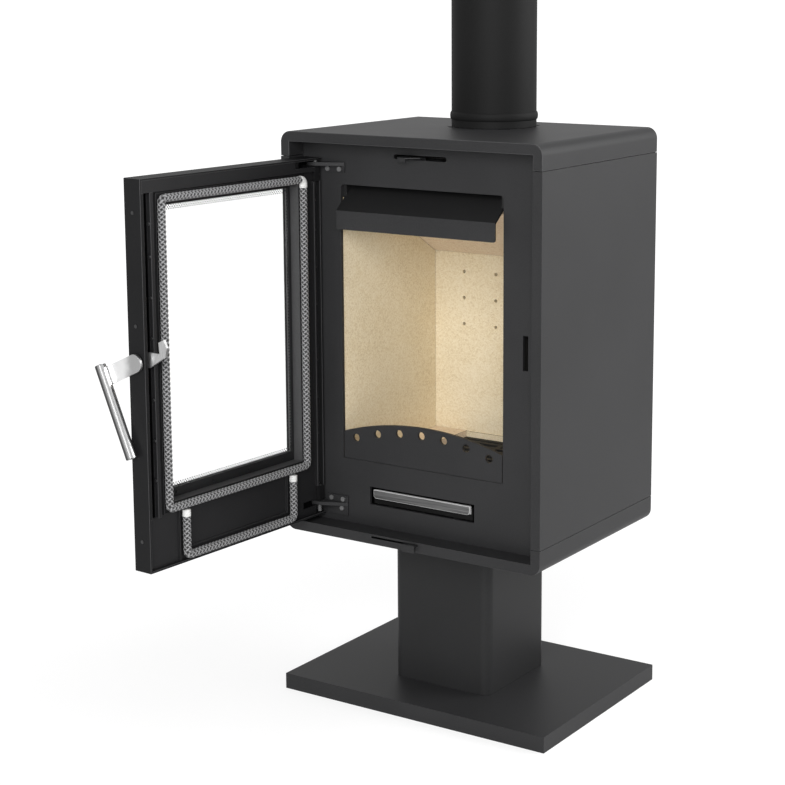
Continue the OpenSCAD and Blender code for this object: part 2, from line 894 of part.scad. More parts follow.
// Baffle: a board that lies on the slopes of the side boards and on the back board.
module baffle_board() {
  slope = tan(baffle_angle);
  front_z = baffle_seat_z + (lining_back_y - baffle_front_y) * slope;
  rear_end = board_rear_y - 1;
  top_z0 = baffle_seat_z + board_t / cos(baffle_angle);
  color("tan") side_slab(-lining_out_x, lining_out_x) polygon([
    [rear_end, baffle_seat_z],
    [lining_back_y, baffle_seat_z],
    [baffle_front_y, front_z],
    [baffle_front_y + board_t * sin(baffle_angle), front_z + board_t * cos(baffle_angle)],
    [rear_end, top_z0 - (rear_end - lining_back_y) * slope]
  ]);
}

// One side brick of the floor, drawn on the right.
module base_brick() {
  block([grate_w / 2 + brick_joint, plate_back_y + 1, floor_top_z],
    [lining_x - brick_joint, lining_back_y - brick_joint, brick_top_z]);
}

module base_brick_right() {
  color("tan") base_brick();
}

module base_brick_left() {
  color("tan") mirror([1, 0, 0]) base_brick();
}

// Floor brick in front of the grate.
module base_brick_front() {
  color("tan") block([-grate_w / 2, brick_front_y, floor_top_z],
    [grate_w / 2, grate_y0 - brick_joint, brick_top_z]);
}

// Narrow floor brick behind the grate.
module base_brick_rear() {
  color("tan") block([-grate_w / 2, grate_y1 + brick_joint, floor_top_z],
    [grate_w / 2, lining_back_y - brick_joint, brick_top_z]);
}

// Cast grate: a rim with cross bars.
module grate() {
  w = grate_w / 2 - brick_joint;
  y0 = grate_y0 + brick_joint;
  y1 = grate_y1 - brick_joint;
  color("darkgray") translate([0, 0, floor_top_z]) linear_extrude(grate_t) {
    difference() {
      flat_rect(-w, y0, w, y1);
      flat_rect(-w + grate_rim, y0 + grate_rim, w - grate_rim, y1 - grate_rim);
    }
    for (y = [y0 + grate_pitch:grate_pitch:y1 - grate_pitch / 2])
      flat_rect(-w + grate_rim / 2, y - grate_bar / 2, w - grate_rim / 2, y + grate_bar / 2);
    flat_rect(-grate_bar / 2, y0 + grate_rim / 2, grate_bar / 2, y1 - grate_rim / 2);
  }
}

// Log fence: an arched plate in the opening, held by two tabs behind the sill.
module log_fence() {
  half = opening_w / 2 - fence_side;
  z0 = sill_z + fence_gap;
  end_h = fence_h - fence_rise;
  arc_r = (half * half + fence_rise * fence_rise) / (2 * fence_rise);
  y1 = plate_back_y + slip_gap;
  color("dimgray") {
    front_slab(y1 - plate_t, y1) difference() {
      intersection() {
        union() {
          flat_rect(-half, z0, half, z0 + end_h - fence_r);
          round_rect(-half, z0, half, z0 + 2 * fence_h, fence_r);
        }
        translate([0, z0 + fence_h - arc_r]) circle(r = arc_r, $fn = 256);
        flat_rect(-half, z0, half, z0 + fence_h + 1);
      }
      for (h = fence_holes)
        for (s = [-1, 1])
          translate([s * h[0], z0 + fence_h - h[1]]) circle(d = fence_hole_d);
    }
    for (s = [-1, 1])
      block([s * fence_tab_x - fence_tab_w / 2, y1, sill_z - fence_tab_down],
        [s * fence_tab_x + fence_tab_w / 2, y1 + fence_tab_t, sill_z + fence_tab_down]);
  }
}

// ---------------------------------------------------------------- flue

// Collar welded to the firebox top.
module flue_collar() {
  color("gray") translate([0, flue_y, collar_z0]) difference() {
    cylinder(r = collar_r, h = top_z + collar_up - collar_z0);
    translate([0, 0, -1])
      cylinder(r = collar_r - collar_wall, h = top_z + collar_up - collar_z0 + 2);
  }
}

// Flue pipe with a raised bead near its foot.
module flue_pipe() {
  r = flue_d / 2;
  bead = [for (i = [0:bead_steps]) let (a = 180 * i / bead_steps)
    [r + bead_out * sin(a), bead_z + bead_h * (1 - cos(a)) / 2]];
  color("dimgray") translate([0, flue_y, flue_z0]) rotate_extrude($fn = 96)
    polygon(concat([[r - flue_wall, 0], [r, 0]], bead, [[r, flue_l], [r - flue_wall, flue_l]]));
}

// ---------------------------------------------------------------- ash pan

// Sheet pan that catches the ash.
module ash_pan() {
  w = pan_w / 2;
  color("dimgray") difference() {
    block([-w, pan_y0, pan_z], [w, pan_y1, pan_z + pan_h]);
    block([-w + pan_wall, pan_y0 + pan_wall, pan_z + pan_wall],
      [w - pan_wall, pan_y1 - pan_wall, pan_z + pan_h + 1]);
  }
}

// Bright strip on the pan's front that it is pulled out by.
module ash_pan_handle() {
  w = strip_w / 2;
  y0 = plate_y - strip_out;
  color("silver") {
    front_slab(y0, y0 + strip_t) union() {
      round_rect(-w, strip_z, w, strip_z + strip_h, strip_r);
      flat_rect(-w, strip_z + strip_h / 2, w, strip_z + strip_h);
    }
    block([-w, y0, strip_z + strip_h - strip_t], [w, pan_y0 - strip_t, strip_z + strip_h]);
    block([-w, pan_y0 - strip_t, pan_z + pan_h / 2], [w, pan_y0, strip_z + strip_h]);
  }
}

// ---------------------------------------------------------------- air controls

// Top air slide: a plate over the vents with a tab through the front plate's slot.
module top_air_slide() {
  riser_y = top_slide_y0;
  color("dimgray") {
    difference() {
      block([-top_slide_w / 2, top_slide_y0, top_slide_z],
        [top_slide_w / 2, top_slide_y1, top_slide_z + slide_t]);
      for (i = [-1:1])
        block([i * vent_pitch - vent_w / 2, vent_y - vent_d / 2, top_slide_z - 1],
          [i * vent_pitch + vent_w / 2, vent_y + vent_d / 2, top_slide_z + slide_t + 1]);
    }
    block([top_tab_x0, riser_y, top_slide_z], [top_tab_x1, riser_y + slide_t, top_tab_z + slide_t]);
    translate([0, 0, top_tab_z]) linear_extrude(slide_t) polygon([
      [top_tab_x0, riser_y + slide_t],
      [top_tab_x0, plate_y - top_tab_straight],
      [top_tip_x0, top_tip_y],
      [top_tip_x1, top_tip_y],
      [top_tab_x1, plate_y - top_tab_straight],
      [top_tab_x1, riser_y + slide_t]
    ]);
    block([top_tip_x0, top_tip_y, top_tab_z - top_tip_drop],
      [top_tip_x1, top_tip_y + slide_t, top_tab_z + slide_t]);
  }
}

// Rails beside the top slide: one behind it and two short ones in front of it.
module top_slide_rails() {
  z0 = fire_top_z + steel_t;
  keep = top_slide_z + slide_t + rail_gap;
  rear_y0 = top_slide_y1 + slip_gap;
  front_y1 = top_slide_y0 - slip_gap;
  color("gray") {
    block([-rail_x, rear_y0, z0], [rail_x, rear_y0 + rail_t, keep + rail_cap]);
    block([-rail_x, top_slide_y1 - rail_t, keep], [rail_x, rear_y0 + rail_t, keep + rail_cap]);
    for (x = [-rail_x, rail_x - rail_foot]) {
      block([x, front_y1 - rail_t, z0], [x + rail_foot, front_y1, keep + rail_cap]);
      block([x, front_y1 - rail_t, keep],
        [x + rail_foot, top_slide_y0 + rail_t, keep + rail_cap]);
    }
  }
}

// Bottom air slide: a valve plate with a tab that bends down in front of the tray.
module bottom_air_slide() {
  z1 = low_slide_z + slide_t;
  color("dimgray") {
    difference() {
      block([low_plate_x0, low_plate_y0, low_slide_z], [low_plate_x1, low_plate_y1, z1]);
      block([-inlet_w / 2, low_plate_y0 + seat_wall, low_slide_z - 1],
        [inlet_w / 2, low_plate_y1 - seat_wall, z1 + 1]);
    }
    block([low_tab_x0, low_tab_y, low_slide_z], [low_tab_x1, low_plate_y0 + 1, z1]);
    block([low_tab_x0, low_tab_y, low_tab_z0], [low_tab_x1, low_tab_y + slide_t, z1]);
  }
}

// Seat under the bottom slide, with a keeper over the slide's rear edge.
module bottom_slide_seat() {
  x0 = low_plate_x0 - low_travel - seat_end;
  x1 = low_plate_x1 + seat_end;
  z1 = low_slide_z - slide_gap;
  keep = low_slide_z + slide_t + rail_gap;
  rear_y0 = low_plate_y1 + slip_gap;
  color("gray") {
    difference() {
      block([x0, low_plate_y0, casing_z + sheet], [x1, low_plate_y1, z1]);
      block([-inlet_w / 2, low_plate_y0 + seat_wall, casing_z],
        [inlet_w / 2, low_plate_y1 - seat_wall, z1 + 1]);
      block([x0 + seat_end, low_plate_y0 + seat_end, casing_z],
        [-inlet_w / 2 - seat_end, low_plate_y1 - seat_end, z1 + 1]);
    }
    block([x0, rear_y0, casing_z + sheet], [x1, rear_y0 + rail_t, keep + rail_cap]);
    block([x0, low_plate_y1 - eps, casing_z + sheet], [x1, rear_y0 + rail_t, z1]);
    block([x0, low_plate_y1 - rail_t, keep], [x1, rear_y0 + rail_t, keep + rail_cap]);
  }
}

// ---------------------------------------------------------------- hinges

// One bracket: a flange on the front plate and a tongue with the pin's bore.
module bracket(z0, flange_z0, flange_z1) {
  px = pin_x;
  difference() {
    union() {
      translate([0, 0, z0]) linear_extrude(tongue_t) polygon([
        [bracket_x1, plate_y],
        [bracket_x1, plate_y - bracket_t],
        [px + tongue_nose, pin_y - tongue_reach],
        [px - tongue_nose, pin_y - tongue_reach],
        [px - tongue_tail, pin_y - tongue_root],
        [px - tongue_tail, plate_y]
      ]);
      block([bracket_x0, plate_y - bracket_t, flange_z0], [bracket_x1, plate_y, flange_z1]);
    }
    translate([px, pin_y, z0 - 1]) cylinder(r = pin_d / 2 + run_gap, h = tongue_t + 2);
  }
}

// Screw places on the brackets' flanges.
module at_high_screws() {
  for (x = bracket_screw_x)
    translate([pin_x + x, plate_y - bracket_t, high_tongue_z - high_flange_h / 2])
      rotate([90, 0, 0]) children();
}

module at_low_screws() {
  for (x = bracket_screw_x)
    translate([pin_x + x, plate_y - bracket_t, low_tongue_z + tongue_t + low_screw_above])
      rotate([90, 0, 0]) children();
  translate([pin_x + low_screw_x, plate_y - bracket_t, low_tongue_z - low_screw_below])
    rotate([90, 0, 0]) children();
}

// Bore for one bracket screw.
module bracket_bore() {
  translate([0, 0, -2 * bracket_t]) cylinder(d = screw_d + slip_gap, h = 4 * bracket_t);
}

module hinge_bracket_top() {
  color("dimgray") difference() {
    bracket(high_tongue_z, high_tongue_z - high_flange_h, high_tongue_z + tongue_t);
    at_high_screws() bracket_bore();
  }
}

module hinge_bracket_bottom() {
  color("dimgray") difference() {
    bracket(low_tongue_z, low_tongue_z - low_flange_down,
      low_tongue_z + tongue_t + low_flange_up);
    at_low_screws() bracket_bore();
  }
}

// Screws of both brackets.
module hinge_screws() {
  color("silver") {
    at_high_screws() screw(screw_d, bracket_head, screw_head_h, bracket_t - 0.1);
    at_low_screws() screw(screw_d, bracket_head, screw_head_h, bracket_t - 0.1);
  }
}

// Lugs on the door that carry the pins, above the low tongue and below the high one.
module door_hinge_lugs() {
  color("gray") swung()
    for (z = [low_tongue_z + tongue_t + washer_gap, high_tongue_z - washer_gap - lug_l])
      difference() {
        block([door_x0 + door_sheet, panel_y, z], [pin_x + lug_w / 2, door_y1 - 0.5, z + lug_l]);
        translate([pin_x, pin_y, z - 1]) cylinder(r = pin_d / 2 + shaft_gap, h = lug_l + 2);
      }
}

// Pins through the lugs and the tongues.
module hinge_pins() {
  below = 12;
  above = 2;
  l = lug_l + washer_gap + tongue_t;
  color("silver") swung() {
    translate([pin_x, pin_y, low_tongue_z - below]) cylinder(d = pin_d, h = l + below);
    translate([pin_x, pin_y, high_tongue_z - washer_gap - lug_l]) cylinder(d = pin_d, h = l + above);
  }
}

// ---------------------------------------------------------------- door

// The tongues' room, cut out of everything near the door's hinge edge.
module tongue_rooms() {
  nose_x = pin_x + tongue_nose + bracket_room;
  root_x = bracket_x1 + bracket_room;
  for (z = [low_tongue_z, high_tongue_z])
    translate([0, 0, z - tongue_room]) linear_extrude(tongue_t + 2 * tongue_room) polygon([
      [door_x0 - 1, panel_y],
      [nose_x, panel_y],
      [nose_x, pin_y - tongue_reach - bracket_room],
      [root_x, plate_y - bracket_t - bracket_room],
      [root_x, door_y1 + 1],
      [door_x0 - 1, door_y1 + 1]
    ]);
}

// Outer box of the door: front panel with the window, edges and the inner flange.
module door_shell() {
  far_x = door_x1 - door_sheet;
  color("dimgray") swung() difference() {
    union() {
      front_slab(door_y0, panel_y) difference() {
        flat_rect(door_x0, door_z0, door_x1, door_z1);
        flat_rect(-window_x, window_z0, window_x, window_z1);
      }
      block([far_x, door_y0, door_z0], [door_x1, door_y1, door_z1]);
      block([door_x0, door_y0, door_z0], [door_x1, door_y1, door_z0 + door_sheet]);
      block([door_x0, door_y0, door_z1 - door_sheet], [door_x1, door_y1, door_z1]);
      block([door_x0, door_y0, hinge_edge_z0], [door_x0 + door_sheet, door_y1 - 1, hinge_edge_z1]);
      block([door_x1 - edge_flange, raised_y, channel_z0], [door_x1, door_y1, channel_z1]);
    }
    translate([far_x - 1, pivot_y, pivot_z]) rotate([0, 90, 0])
      cylinder(r = bush_r + shaft_gap, h = door_sheet + 2);
  }
}

// Inner frame: base sheet, raised top face, rope channels and the walls around the glass.
module door_inner_frame() {
  rim_x = rope_x + rope_r + rope_wall;
  rim_z1 = rope_z1 + rope_r + rope_wall;
  rim_z0 = rope_z0 - rope_r - rope_wall;
  in_x = rope_x - rope_r;
  in_z0 = rope_z0 + rope_r;
  in_z1 = rope_z1 - rope_r;
  ash_in = ash_rope_x - rope_r - ash_gap;
  ash_out = ash_rope_x + rope_r + ash_gap;
  ash_in_z = ash_rope_z + rope_r + ash_gap;
  color("dimgray") swung() difference() {
    union() {
      front_slab(frame_y0, frame_y1) difference() {
        union() {
          flat_rect(frame_x0, frame_z0, frame_x1, frame_z1);
          flat_rect(door_x0 + door_sheet, hinge_rib_z0, frame_x0 + eps, hinge_rib_z1);
          flat_rect(frame_x0, frame_z0, door_x1 - door_sheet, channel_z0);
          flat_rect(frame_x0, channel_z1, door_x1 - door_sheet, frame_z1);
        }
        flat_rect(-reveal_x, reveal_z0, reveal_x, reveal_z1);
      }
      // walls around the glass
      front_slab(panel_y, wall_y) difference() {
        flat_rect(-in_x, in_z0, in_x, in_z1);
        flat_rect(-reveal_x, reveal_z0, reveal_x, reveal_z1);
      }
      // outer wall of the main rope's channel
      front_slab(frame_y0, wall_y) difference() {
        flat_rect(-rim_x, rim_z0, rim_x, rim_z1);
        flat_rect(-rim_x + rope_wall, rim_z0 + rope_wall, rim_x - rope_wall, rim_z1 - rope_wall);
      }
      // walls beside the ash rope
      front_slab(frame_y0, wall_y) difference() {
        flat_rect(-ash_out - rope_wall, frame_z0, ash_out + rope_wall, rim_z0 + 0.5);
        flat_rect(-ash_out, frame_z0 - 1, ash_out, rim_z0 + 1);
      }
      front_slab(frame_y0, wall_y) difference() {
        flat_rect(-ash_in, ash_in_z, ash_in, rim_z0 + 0.5);
        flat_rect(-ash_in + rope_wall, ash_in_z + rope_wall, ash_in - rope_wall, rim_z0 + 1);
      }
      // raised face above, with its edge folded down to the base sheet
      front_slab(raised_y, door_y1)
        flat_rect(frame_x0, channel_z1, door_x1 - door_sheet, frame_z1);
      front_slab(frame_y0, raised_y + eps)
        flat_rect(frame_x0, channel_z1, door_x1 - door_sheet, channel_z1 + frame_sheet);
    }
    tongue_rooms();
  }
}

// Upright ribs: a wide one on the free side and a thin one on the hinge side.
module door_side_ribs() {
  color("dimgray") swung() {
    block([frame_x1 - rib_w, frame_y1, channel_z0], [frame_x1, frame_y1 + rib_h, channel_z1]);
    block([frame_x0, frame_y1, hinge_rib_z0],
      [frame_x0 + hinge_rib_w, frame_y1 + rib_h, hinge_rib_z1]);
  }
}

// Outline of the glass, inside the reveal.
module glass_outline() {
  x = reveal_x - glass_gap;
  flat_rect(-x, reveal_z0 + glass_gap, x, reveal_z1 - glass_gap);
}

// Flat ring around the window, from y0 to y1.
module glass_ring(y0, y1) {
  front_slab(y0, y1) difference() {
    glass_outline();
    flat_rect(-window_x, window_z0, window_x, window_z1);
  }
}

// Gasket between the front panel and the glass.
module glass_gasket() {
  color("lightgray") swung() glass_ring(panel_y, glass_y0);
}

// Glass pane.
module door_glass() {
  color("lightblue", 0.4) swung() front_slab(glass_y0, glass_y1) glass_outline();
}

// Retainer ring that holds the glass.
module glass_retainer() {
  color("dimgray") swung() glass_ring(glass_y1, glass_y1 + retainer_t);
}

// Screws on the retainer's lower and upper edges.
module glass_screws() {
  low_z = (reveal_z0 + window_z0) / 2;
  high_z = (reveal_z1 - glass_gap + window_z1) / 2;
  far = reveal_x - glass_screw_side;
  color("silver") swung() {
    for (x = [-far, -far / 3, far / 3, far])
      translate([x, glass_y1 + retainer_t, low_z]) rotate([-90, 0, 0])
        cylinder(d = small_head, h = 1.5);
    for (x = [-far, 0, far])
      translate([x, glass_y1 + retainer_t, high_z]) rotate([-90, 0, 0])
        cylinder(d = small_head - 1, h = 1.5);
  }
}

// A straight length of rope from one XZ place to another, along X or Z.
module rope_run(a, b, r) {
  along_x = abs(b[0] - a[0]) > abs(b[1] - a[1]);
  l = along_x ? b[0] - a[0] : b[1] - a[1];
  translate([a[0], rope_y, a[1]]) rotate(along_x ? [0, 90, 0] : [0, 0, 0])
    cylinder(r = r, h = l);
}

// A quarter bend of rope with its middle at c, starting at angle a in the XZ plane.
module rope_bend_at(c, a, r) {
  translate([c[0], rope_y, c[1]]) rotate([90, 0, 0]) rotate([0, 0, a])
    rotate_extrude(angle = 90) translate([rope_bend, 0]) circle(r = r);
}

// Main rope around the glass, butted together under the tape.
module door_rope() {
  r = rope_r - rope_thin;
  b = rope_bend;
  color("silver") swung() {
    rope_run([-rope_x + tape_side + b, rope_z1], [rope_x - b + eps, rope_z1], r);
    rope_bend_at([rope_x - b, rope_z1 - b], 0, r);
    rope_run([rope_x, rope_z0 + b - eps], [rope_x, rope_z1 - b + eps], r);
    rope_bend_at([rope_x - b, rope_z0 + b], 270, r);
    rope_run([-rope_x + b - eps, rope_z0], [rope_x - b + eps, rope_z0], r);
    rope_bend_at([-rope_x + b, rope_z0 + b], 180, r);
    rope_run([-rope_x, rope_z0 + b - eps], [-rope_x, rope_z1 - b - tape_down], r);
  }
}

// Rope around the ash slot: two uprights and the run below it.
module ash_door_rope() {
  r = rope_r - rope_thin;
  b = rope_bend;
  top = rope_z0 - rope_r - rope_wall - tape_l - 0.5;
  color("silver") swung() {
    rope_run([ash_rope_x, ash_rope_z + b - eps], [ash_rope_x, top], r);
    rope_bend_at([ash_rope_x - b, ash_rope_z + b], 270, r);
    rope_run([-ash_rope_x + b - eps, ash_rope_z], [ash_rope_x - b + eps, ash_rope_z], r);
    rope_bend_at([-ash_rope_x + b, ash_rope_z + b], 180, r);
    rope_run([-ash_rope_x, ash_rope_z + b - eps], [-ash_rope_x, top], r);
  }
}

// White tape around the rope's ends.
module rope_tape() {
  r = rope_r - rope_thin + tape_out;
  b = rope_bend;
  top = rope_z0 - rope_r - rope_wall - 0.5;
  color("white") swung() {
    rope_run([-rope_x + b - eps, rope_z1], [-rope_x + b + tape_side, rope_z1], r);
    rope_bend_at([-rope_x + b, rope_z1 - b], 90, r);
    rope_run([-rope_x, rope_z1 - b - tape_down], [-rope_x, rope_z1 - b + eps], r);
    for (s = [-1, 1])
      rope_run([s * ash_rope_x, top - tape_l], [s * ash_rope_x, top], r);
  }
}

// Small screws on the outer sides of both ribs.
module channel_screws() {
  y = frame_y1 + rib_h / 2;
  color("silver") swung() {
    for (up = channel_screw_up) {
      translate([frame_x1, y, pivot_z + up]) rotate([0, 90, 0]) channel_screw();
      translate([frame_x0, y, pivot_z + up]) rotate([0, -90, 0]) channel_screw();
    }
    translate([frame_x0, y, hinge_rib_z0 + low_screw_up]) rotate([0, -90, 0]) channel_screw();
  }
}

module channel_screw() {
  cylinder(d = small_head - 0.5, h = 2);
}

// Small screw heads on the door's free edge.
module edge_screws() {
  color("silver") swung()
    for (z = [door_z0 + edge_screw_low, pivot_z + edge_screw_mid, door_z1 - edge_screw_high])
      translate([door_x1, door_y0 + door_t / 2, z]) rotate([0, 90, 0])
        cylinder(d = small_head, h = 0.6);
}

// ---------------------------------------------------------------- handle and latch

// Bush of the latch shaft in the door's free edge.
module handle_bush() {
  color("silver") swung()
    translate([hook_x1 + 0.4, pivot_y, pivot_z]) rotate([0, 90, 0]) difference() {
      cylinder(r = bush_r, h = arm_x - 0.3 - hook_x1 - 0.4);
      translate([0, 0, -1]) cylinder(r = shaft_d / 2 + run_gap, h = arm_x);
    }
}

// Shaft through the bush, from the hook to the arm.
module latch_shaft() {
  color("silver") swung()
    translate([hook_x0 - 3, pivot_y, pivot_z]) rotate([0, 90, 0])
      cylinder(d = shaft_d, h = arm_x - hook_x0 + 3);
}

// Flat arm from the shaft to the bar, rounded at the shaft.
module handle_arm() {
  color("silver") swung() drooped() difference() {
    side_slab(arm_x, arm_x + arm_t) {
      translate([pivot_y, pivot_z]) circle(d = arm_w);
      flat_rect(pivot_y - arm_l - 2, pivot_z - arm_w / 2, pivot_y, pivot_z + arm_w / 2);
    }
    translate([bar_x, pivot_y - arm_l, pivot_z - bar_l]) cylinder(d = bar_d + 0.1, h = 2 * bar_l);
  }
}

// Round handle bar.
module handle_bar() {
  color("silver") swung() drooped()
    translate([bar_x, pivot_y - arm_l, pivot_z + bar_up - bar_l]) cylinder(d = bar_d, h = bar_l);
}

// Hook that reaches through the front plate's slot, drawn as it stands with the arm let down.
module latch_hook() {
  color("silver") swung() difference() {
    side_slab(hook_x0, hook_x1) translate([pivot_y, pivot_z]) {
      circle(r = hub_r);
      polygon([
        [-3, -8.5],
        [8, -7.5],
        [17.6, -5.7],
        [32.8, 3.9],
        [46.5, 12.5],
        [49.6, 24.5],
        [43.5, 34.8],
        [34.5, 30.3],
        [35.8, 15.2],
        [14.7, 15.2],
        [6, 13],
        [-3, 8.5]
      ]);
    }
    translate([hook_x0 - 1, pivot_y, pivot_z]) rotate([0, 90, 0])
      cylinder(d = shaft_d + 2 * shaft_gap, h = hook_t + 2);
  }
}

// ---------------------------------------------------------------- what is drawn

base_plate();
base_underplate();
pedestal_column();
column_bolts();
bottom_tray();
side_panel_left();
side_panel_right();
top_lid();
rear_panel();
rear_panel_screws();
front_plate();
firebox_side_left();
firebox_side_right();
firebox_back();
firebox_top();
firebox_floor();
ash_box();
firebox_feet();
airwash_duct();
deflector();
lining_left();
lining_right();
lining_back();
baffle_board();
base_brick_left();
base_brick_right();
base_brick_front();
base_brick_rear();
grate();
flue_collar();
flue_pipe();
hinge_bracket_top();
hinge_bracket_bottom();
hinge_screws();
log_fence();
ash_pan();
ash_pan_handle();
top_air_slide();
bottom_air_slide();
top_slide_rails();
bottom_slide_seat();
door_shell();
door_inner_frame();
door_side_ribs();
door_glass();
glass_gasket();
glass_retainer();
glass_screws();
door_rope();
ash_door_rope();
rope_tape();
channel_screws();
edge_screws();
door_hinge_lugs();
hinge_pins();
handle_bush();
handle_bar();
handle_arm();
latch_shaft();
latch_hook();
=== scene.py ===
"""Looks of a steel box wood stove on a pedestal, with its glazed door open to the left."""

import json
import math

import bpy
import numpy as np
from mathutils import Matrix


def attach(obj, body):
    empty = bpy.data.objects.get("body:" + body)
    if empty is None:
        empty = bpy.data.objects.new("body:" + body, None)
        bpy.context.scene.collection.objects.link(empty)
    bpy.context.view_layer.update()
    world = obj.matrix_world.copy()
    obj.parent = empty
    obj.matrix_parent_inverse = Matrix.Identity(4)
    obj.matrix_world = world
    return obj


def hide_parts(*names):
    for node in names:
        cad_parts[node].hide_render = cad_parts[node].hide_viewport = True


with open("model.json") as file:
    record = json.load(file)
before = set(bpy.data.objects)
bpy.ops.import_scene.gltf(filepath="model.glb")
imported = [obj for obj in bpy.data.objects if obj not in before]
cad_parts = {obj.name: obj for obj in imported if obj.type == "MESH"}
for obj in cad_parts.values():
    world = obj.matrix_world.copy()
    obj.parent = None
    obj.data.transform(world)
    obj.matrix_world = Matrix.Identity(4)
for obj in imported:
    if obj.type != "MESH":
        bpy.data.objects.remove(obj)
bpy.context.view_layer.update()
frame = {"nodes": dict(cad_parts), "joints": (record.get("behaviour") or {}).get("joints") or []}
nodes = frame["nodes"]
# Metres in a millimetre, the picture's width and height in pixels, and the sensor's width
MM = 0.001
IMAGE = 785
SENSOR = 36.0
rng = np.random.default_rng(7)


# ---------------------------------------------------------------- materials


def node_tools(tree):
    """Helpers that add a node with its settings or input values, and link two sockets."""

    def add(kind, **values):
        node = tree.nodes.new(kind)
        for key, value in values.items():
            if hasattr(node, key):
                setattr(node, key, value)
            else:
                node.inputs[key.replace("_", " ")].default_value = value
        return node

    def link(source, target):
        tree.links.new(source, target)

    return add, link


def new_material(name):
    """An empty node material with its output, and helpers to add and link nodes."""
    material = bpy.data.materials.new(name)
    material.use_nodes = True
    tree = material.node_tree
    tree.nodes.clear()
    output = tree.nodes.new("ShaderNodeOutputMaterial")

    return (material, output, *node_tools(tree))


def ramp(add, stops):
    """A colour ramp with the given (position, colour) stops."""
    node = add("ShaderNodeValToRGB")
    elements = node.color_ramp.elements
    while len(elements) < len(stops):
        elements.new(0.5)
    for element, (position, colour) in zip(elements, stops):
        element.position = position
        element.color = (*colour, 1.0)
    return node


def noise(add, link, coordinates, scale, detail=2.0, rough=0.5, stretch=None):
    """A noise texture on object coordinates, optionally stretched along an axis."""
    node = add("ShaderNodeTexNoise", Scale=scale, Detail=detail, Roughness=rough)
    source = coordinates
    if stretch:
        mapping = add("ShaderNodeMapping")
        mapping.inputs["Scale"].default_value = stretch
        link(coordinates, mapping.inputs["Vector"])
        source = mapping.outputs["Vector"]
    link(source, node.inputs["Vector"])
    return node


def object_coordinates(add):
    """The piece's own coordinates, in metres."""
    return add("ShaderNodeTexCoord").outputs["Object"]


def sprayed_paint(name, dark, light, rough, grain=0.06, cloud=5.0, gloss_level=0.2):
    """Heat-proof stove paint: fine spray grain, soft clouds and slightly uneven gloss."""
    material, output, add, link = new_material(name)
    place = object_coordinates(add)
    shader = add("ShaderNodeBsdfPrincipled")
    shader.inputs["Specular IOR Level"].default_value = gloss_level
    clouds = noise(add, link, place, cloud, 3.0, 0.55)
    fine = noise(add, link, place, 620.0, 3.0, 0.6)
    mixed = add("ShaderNodeMath", operation="ADD")
    part = add("ShaderNodeMath", operation="MULTIPLY")
    part.inputs[1].default_value = 0.45
    rest = add("ShaderNodeMath", operation="MULTIPLY")
    rest.inputs[1].default_value = 0.55
    link(clouds.outputs["Fac"], part.inputs[0])
    link(fine.outputs["Fac"], rest.inputs[0])
    link(part.outputs[0], mixed.inputs[0])
    link(rest.outputs[0], mixed.inputs[1])
    colours = ramp(add, [(0.34, dark), (0.66, light)])
    link(mixed.outputs[0], colours.inputs["Fac"])
    link(colours.outputs["Color"], shader.inputs["Base Color"])
    gloss = add("ShaderNodeMapRange")
    gloss.inputs["From Min"].default_value = 0.3
    gloss.inputs["From Max"].default_value = 0.7
    gloss.inputs["To Min"].default_value = rough - 0.04
    gloss.inputs["To Max"].default_value = rough + 0.05
    link(mixed.outputs[0], gloss.inputs["Value"])
    link(gloss.outputs["Result"], shader.inputs["Roughness"])
    bump = add("ShaderNodeBump")
    bump.inputs["Strength"].default_value = grain
    bump.inputs["Distance"].default_value = 0.0004
    link(fine.outputs["Fac"], bump.inputs["Height"])
    link(bump.outputs["Normal"], shader.inputs["Normal"])
    link(shader.outputs["BSDF"], output.inputs["Surface"])
    return material


def vermiculite_board(name, dark, middle, light):
    """Pressed vermiculite: flakes a few millimetres across, darker grains and soft clouds."""
    material, output, add, link = new_material(name)
    place = object_coordinates(add)
    shader = add("ShaderNodeBsdfPrincipled", Roughness=0.9)
    shader.inputs["Specular IOR Level"].default_value = 0.2
    flakes = add("ShaderNodeTexVoronoi", Scale=480.0)
    link(place, flakes.inputs["Vector"])
    grains = noise(add, link, place, 700.0, 4.0, 0.7)
    clouds = noise(add, link, place, 9.0, 3.0, 0.6)
    flake_tone = add("ShaderNodeSeparateColor")
    link(flakes.outputs["Color"], flake_tone.inputs["Color"])
    tone = add("ShaderNodeMath", operation="MULTIPLY_ADD")
    tone.inputs[1].default_value = 0.34
    link(flake_tone.outputs[0], tone.inputs[0])
    grain_share = add("ShaderNodeMath", operation="MULTIPLY_ADD")
    grain_share.inputs[1].default_value = 0.75
    grain_share.inputs[2].default_value = -0.06
    link(grains.outputs["Fac"], grain_share.inputs[0])
    link(grain_share.outputs[0], tone.inputs[2])
    total = add("ShaderNodeMath", operation="MULTIPLY_ADD")
    total.inputs[1].default_value = 0.35
    link(clouds.outputs["Fac"], total.inputs[0])
    link(tone.outputs[0], total.inputs[2])
    colours = ramp(add, [(0.3, dark), (0.55, middle), (0.85, light)])
    link(total.outputs[0], colours.inputs["Fac"])
    link(colours.outputs["Color"], shader.inputs["Base Color"])
    bump = add("ShaderNodeBump")
    bump.inputs["Strength"].default_value = 0.25
    bump.inputs["Distance"].default_value = 0.0006
    link(tone.outputs[0], bump.inputs["Height"])
    link(bump.outputs["Normal"], shader.inputs["Normal"])
    link(shader.outputs["BSDF"], output.inputs["Surface"])
    return material


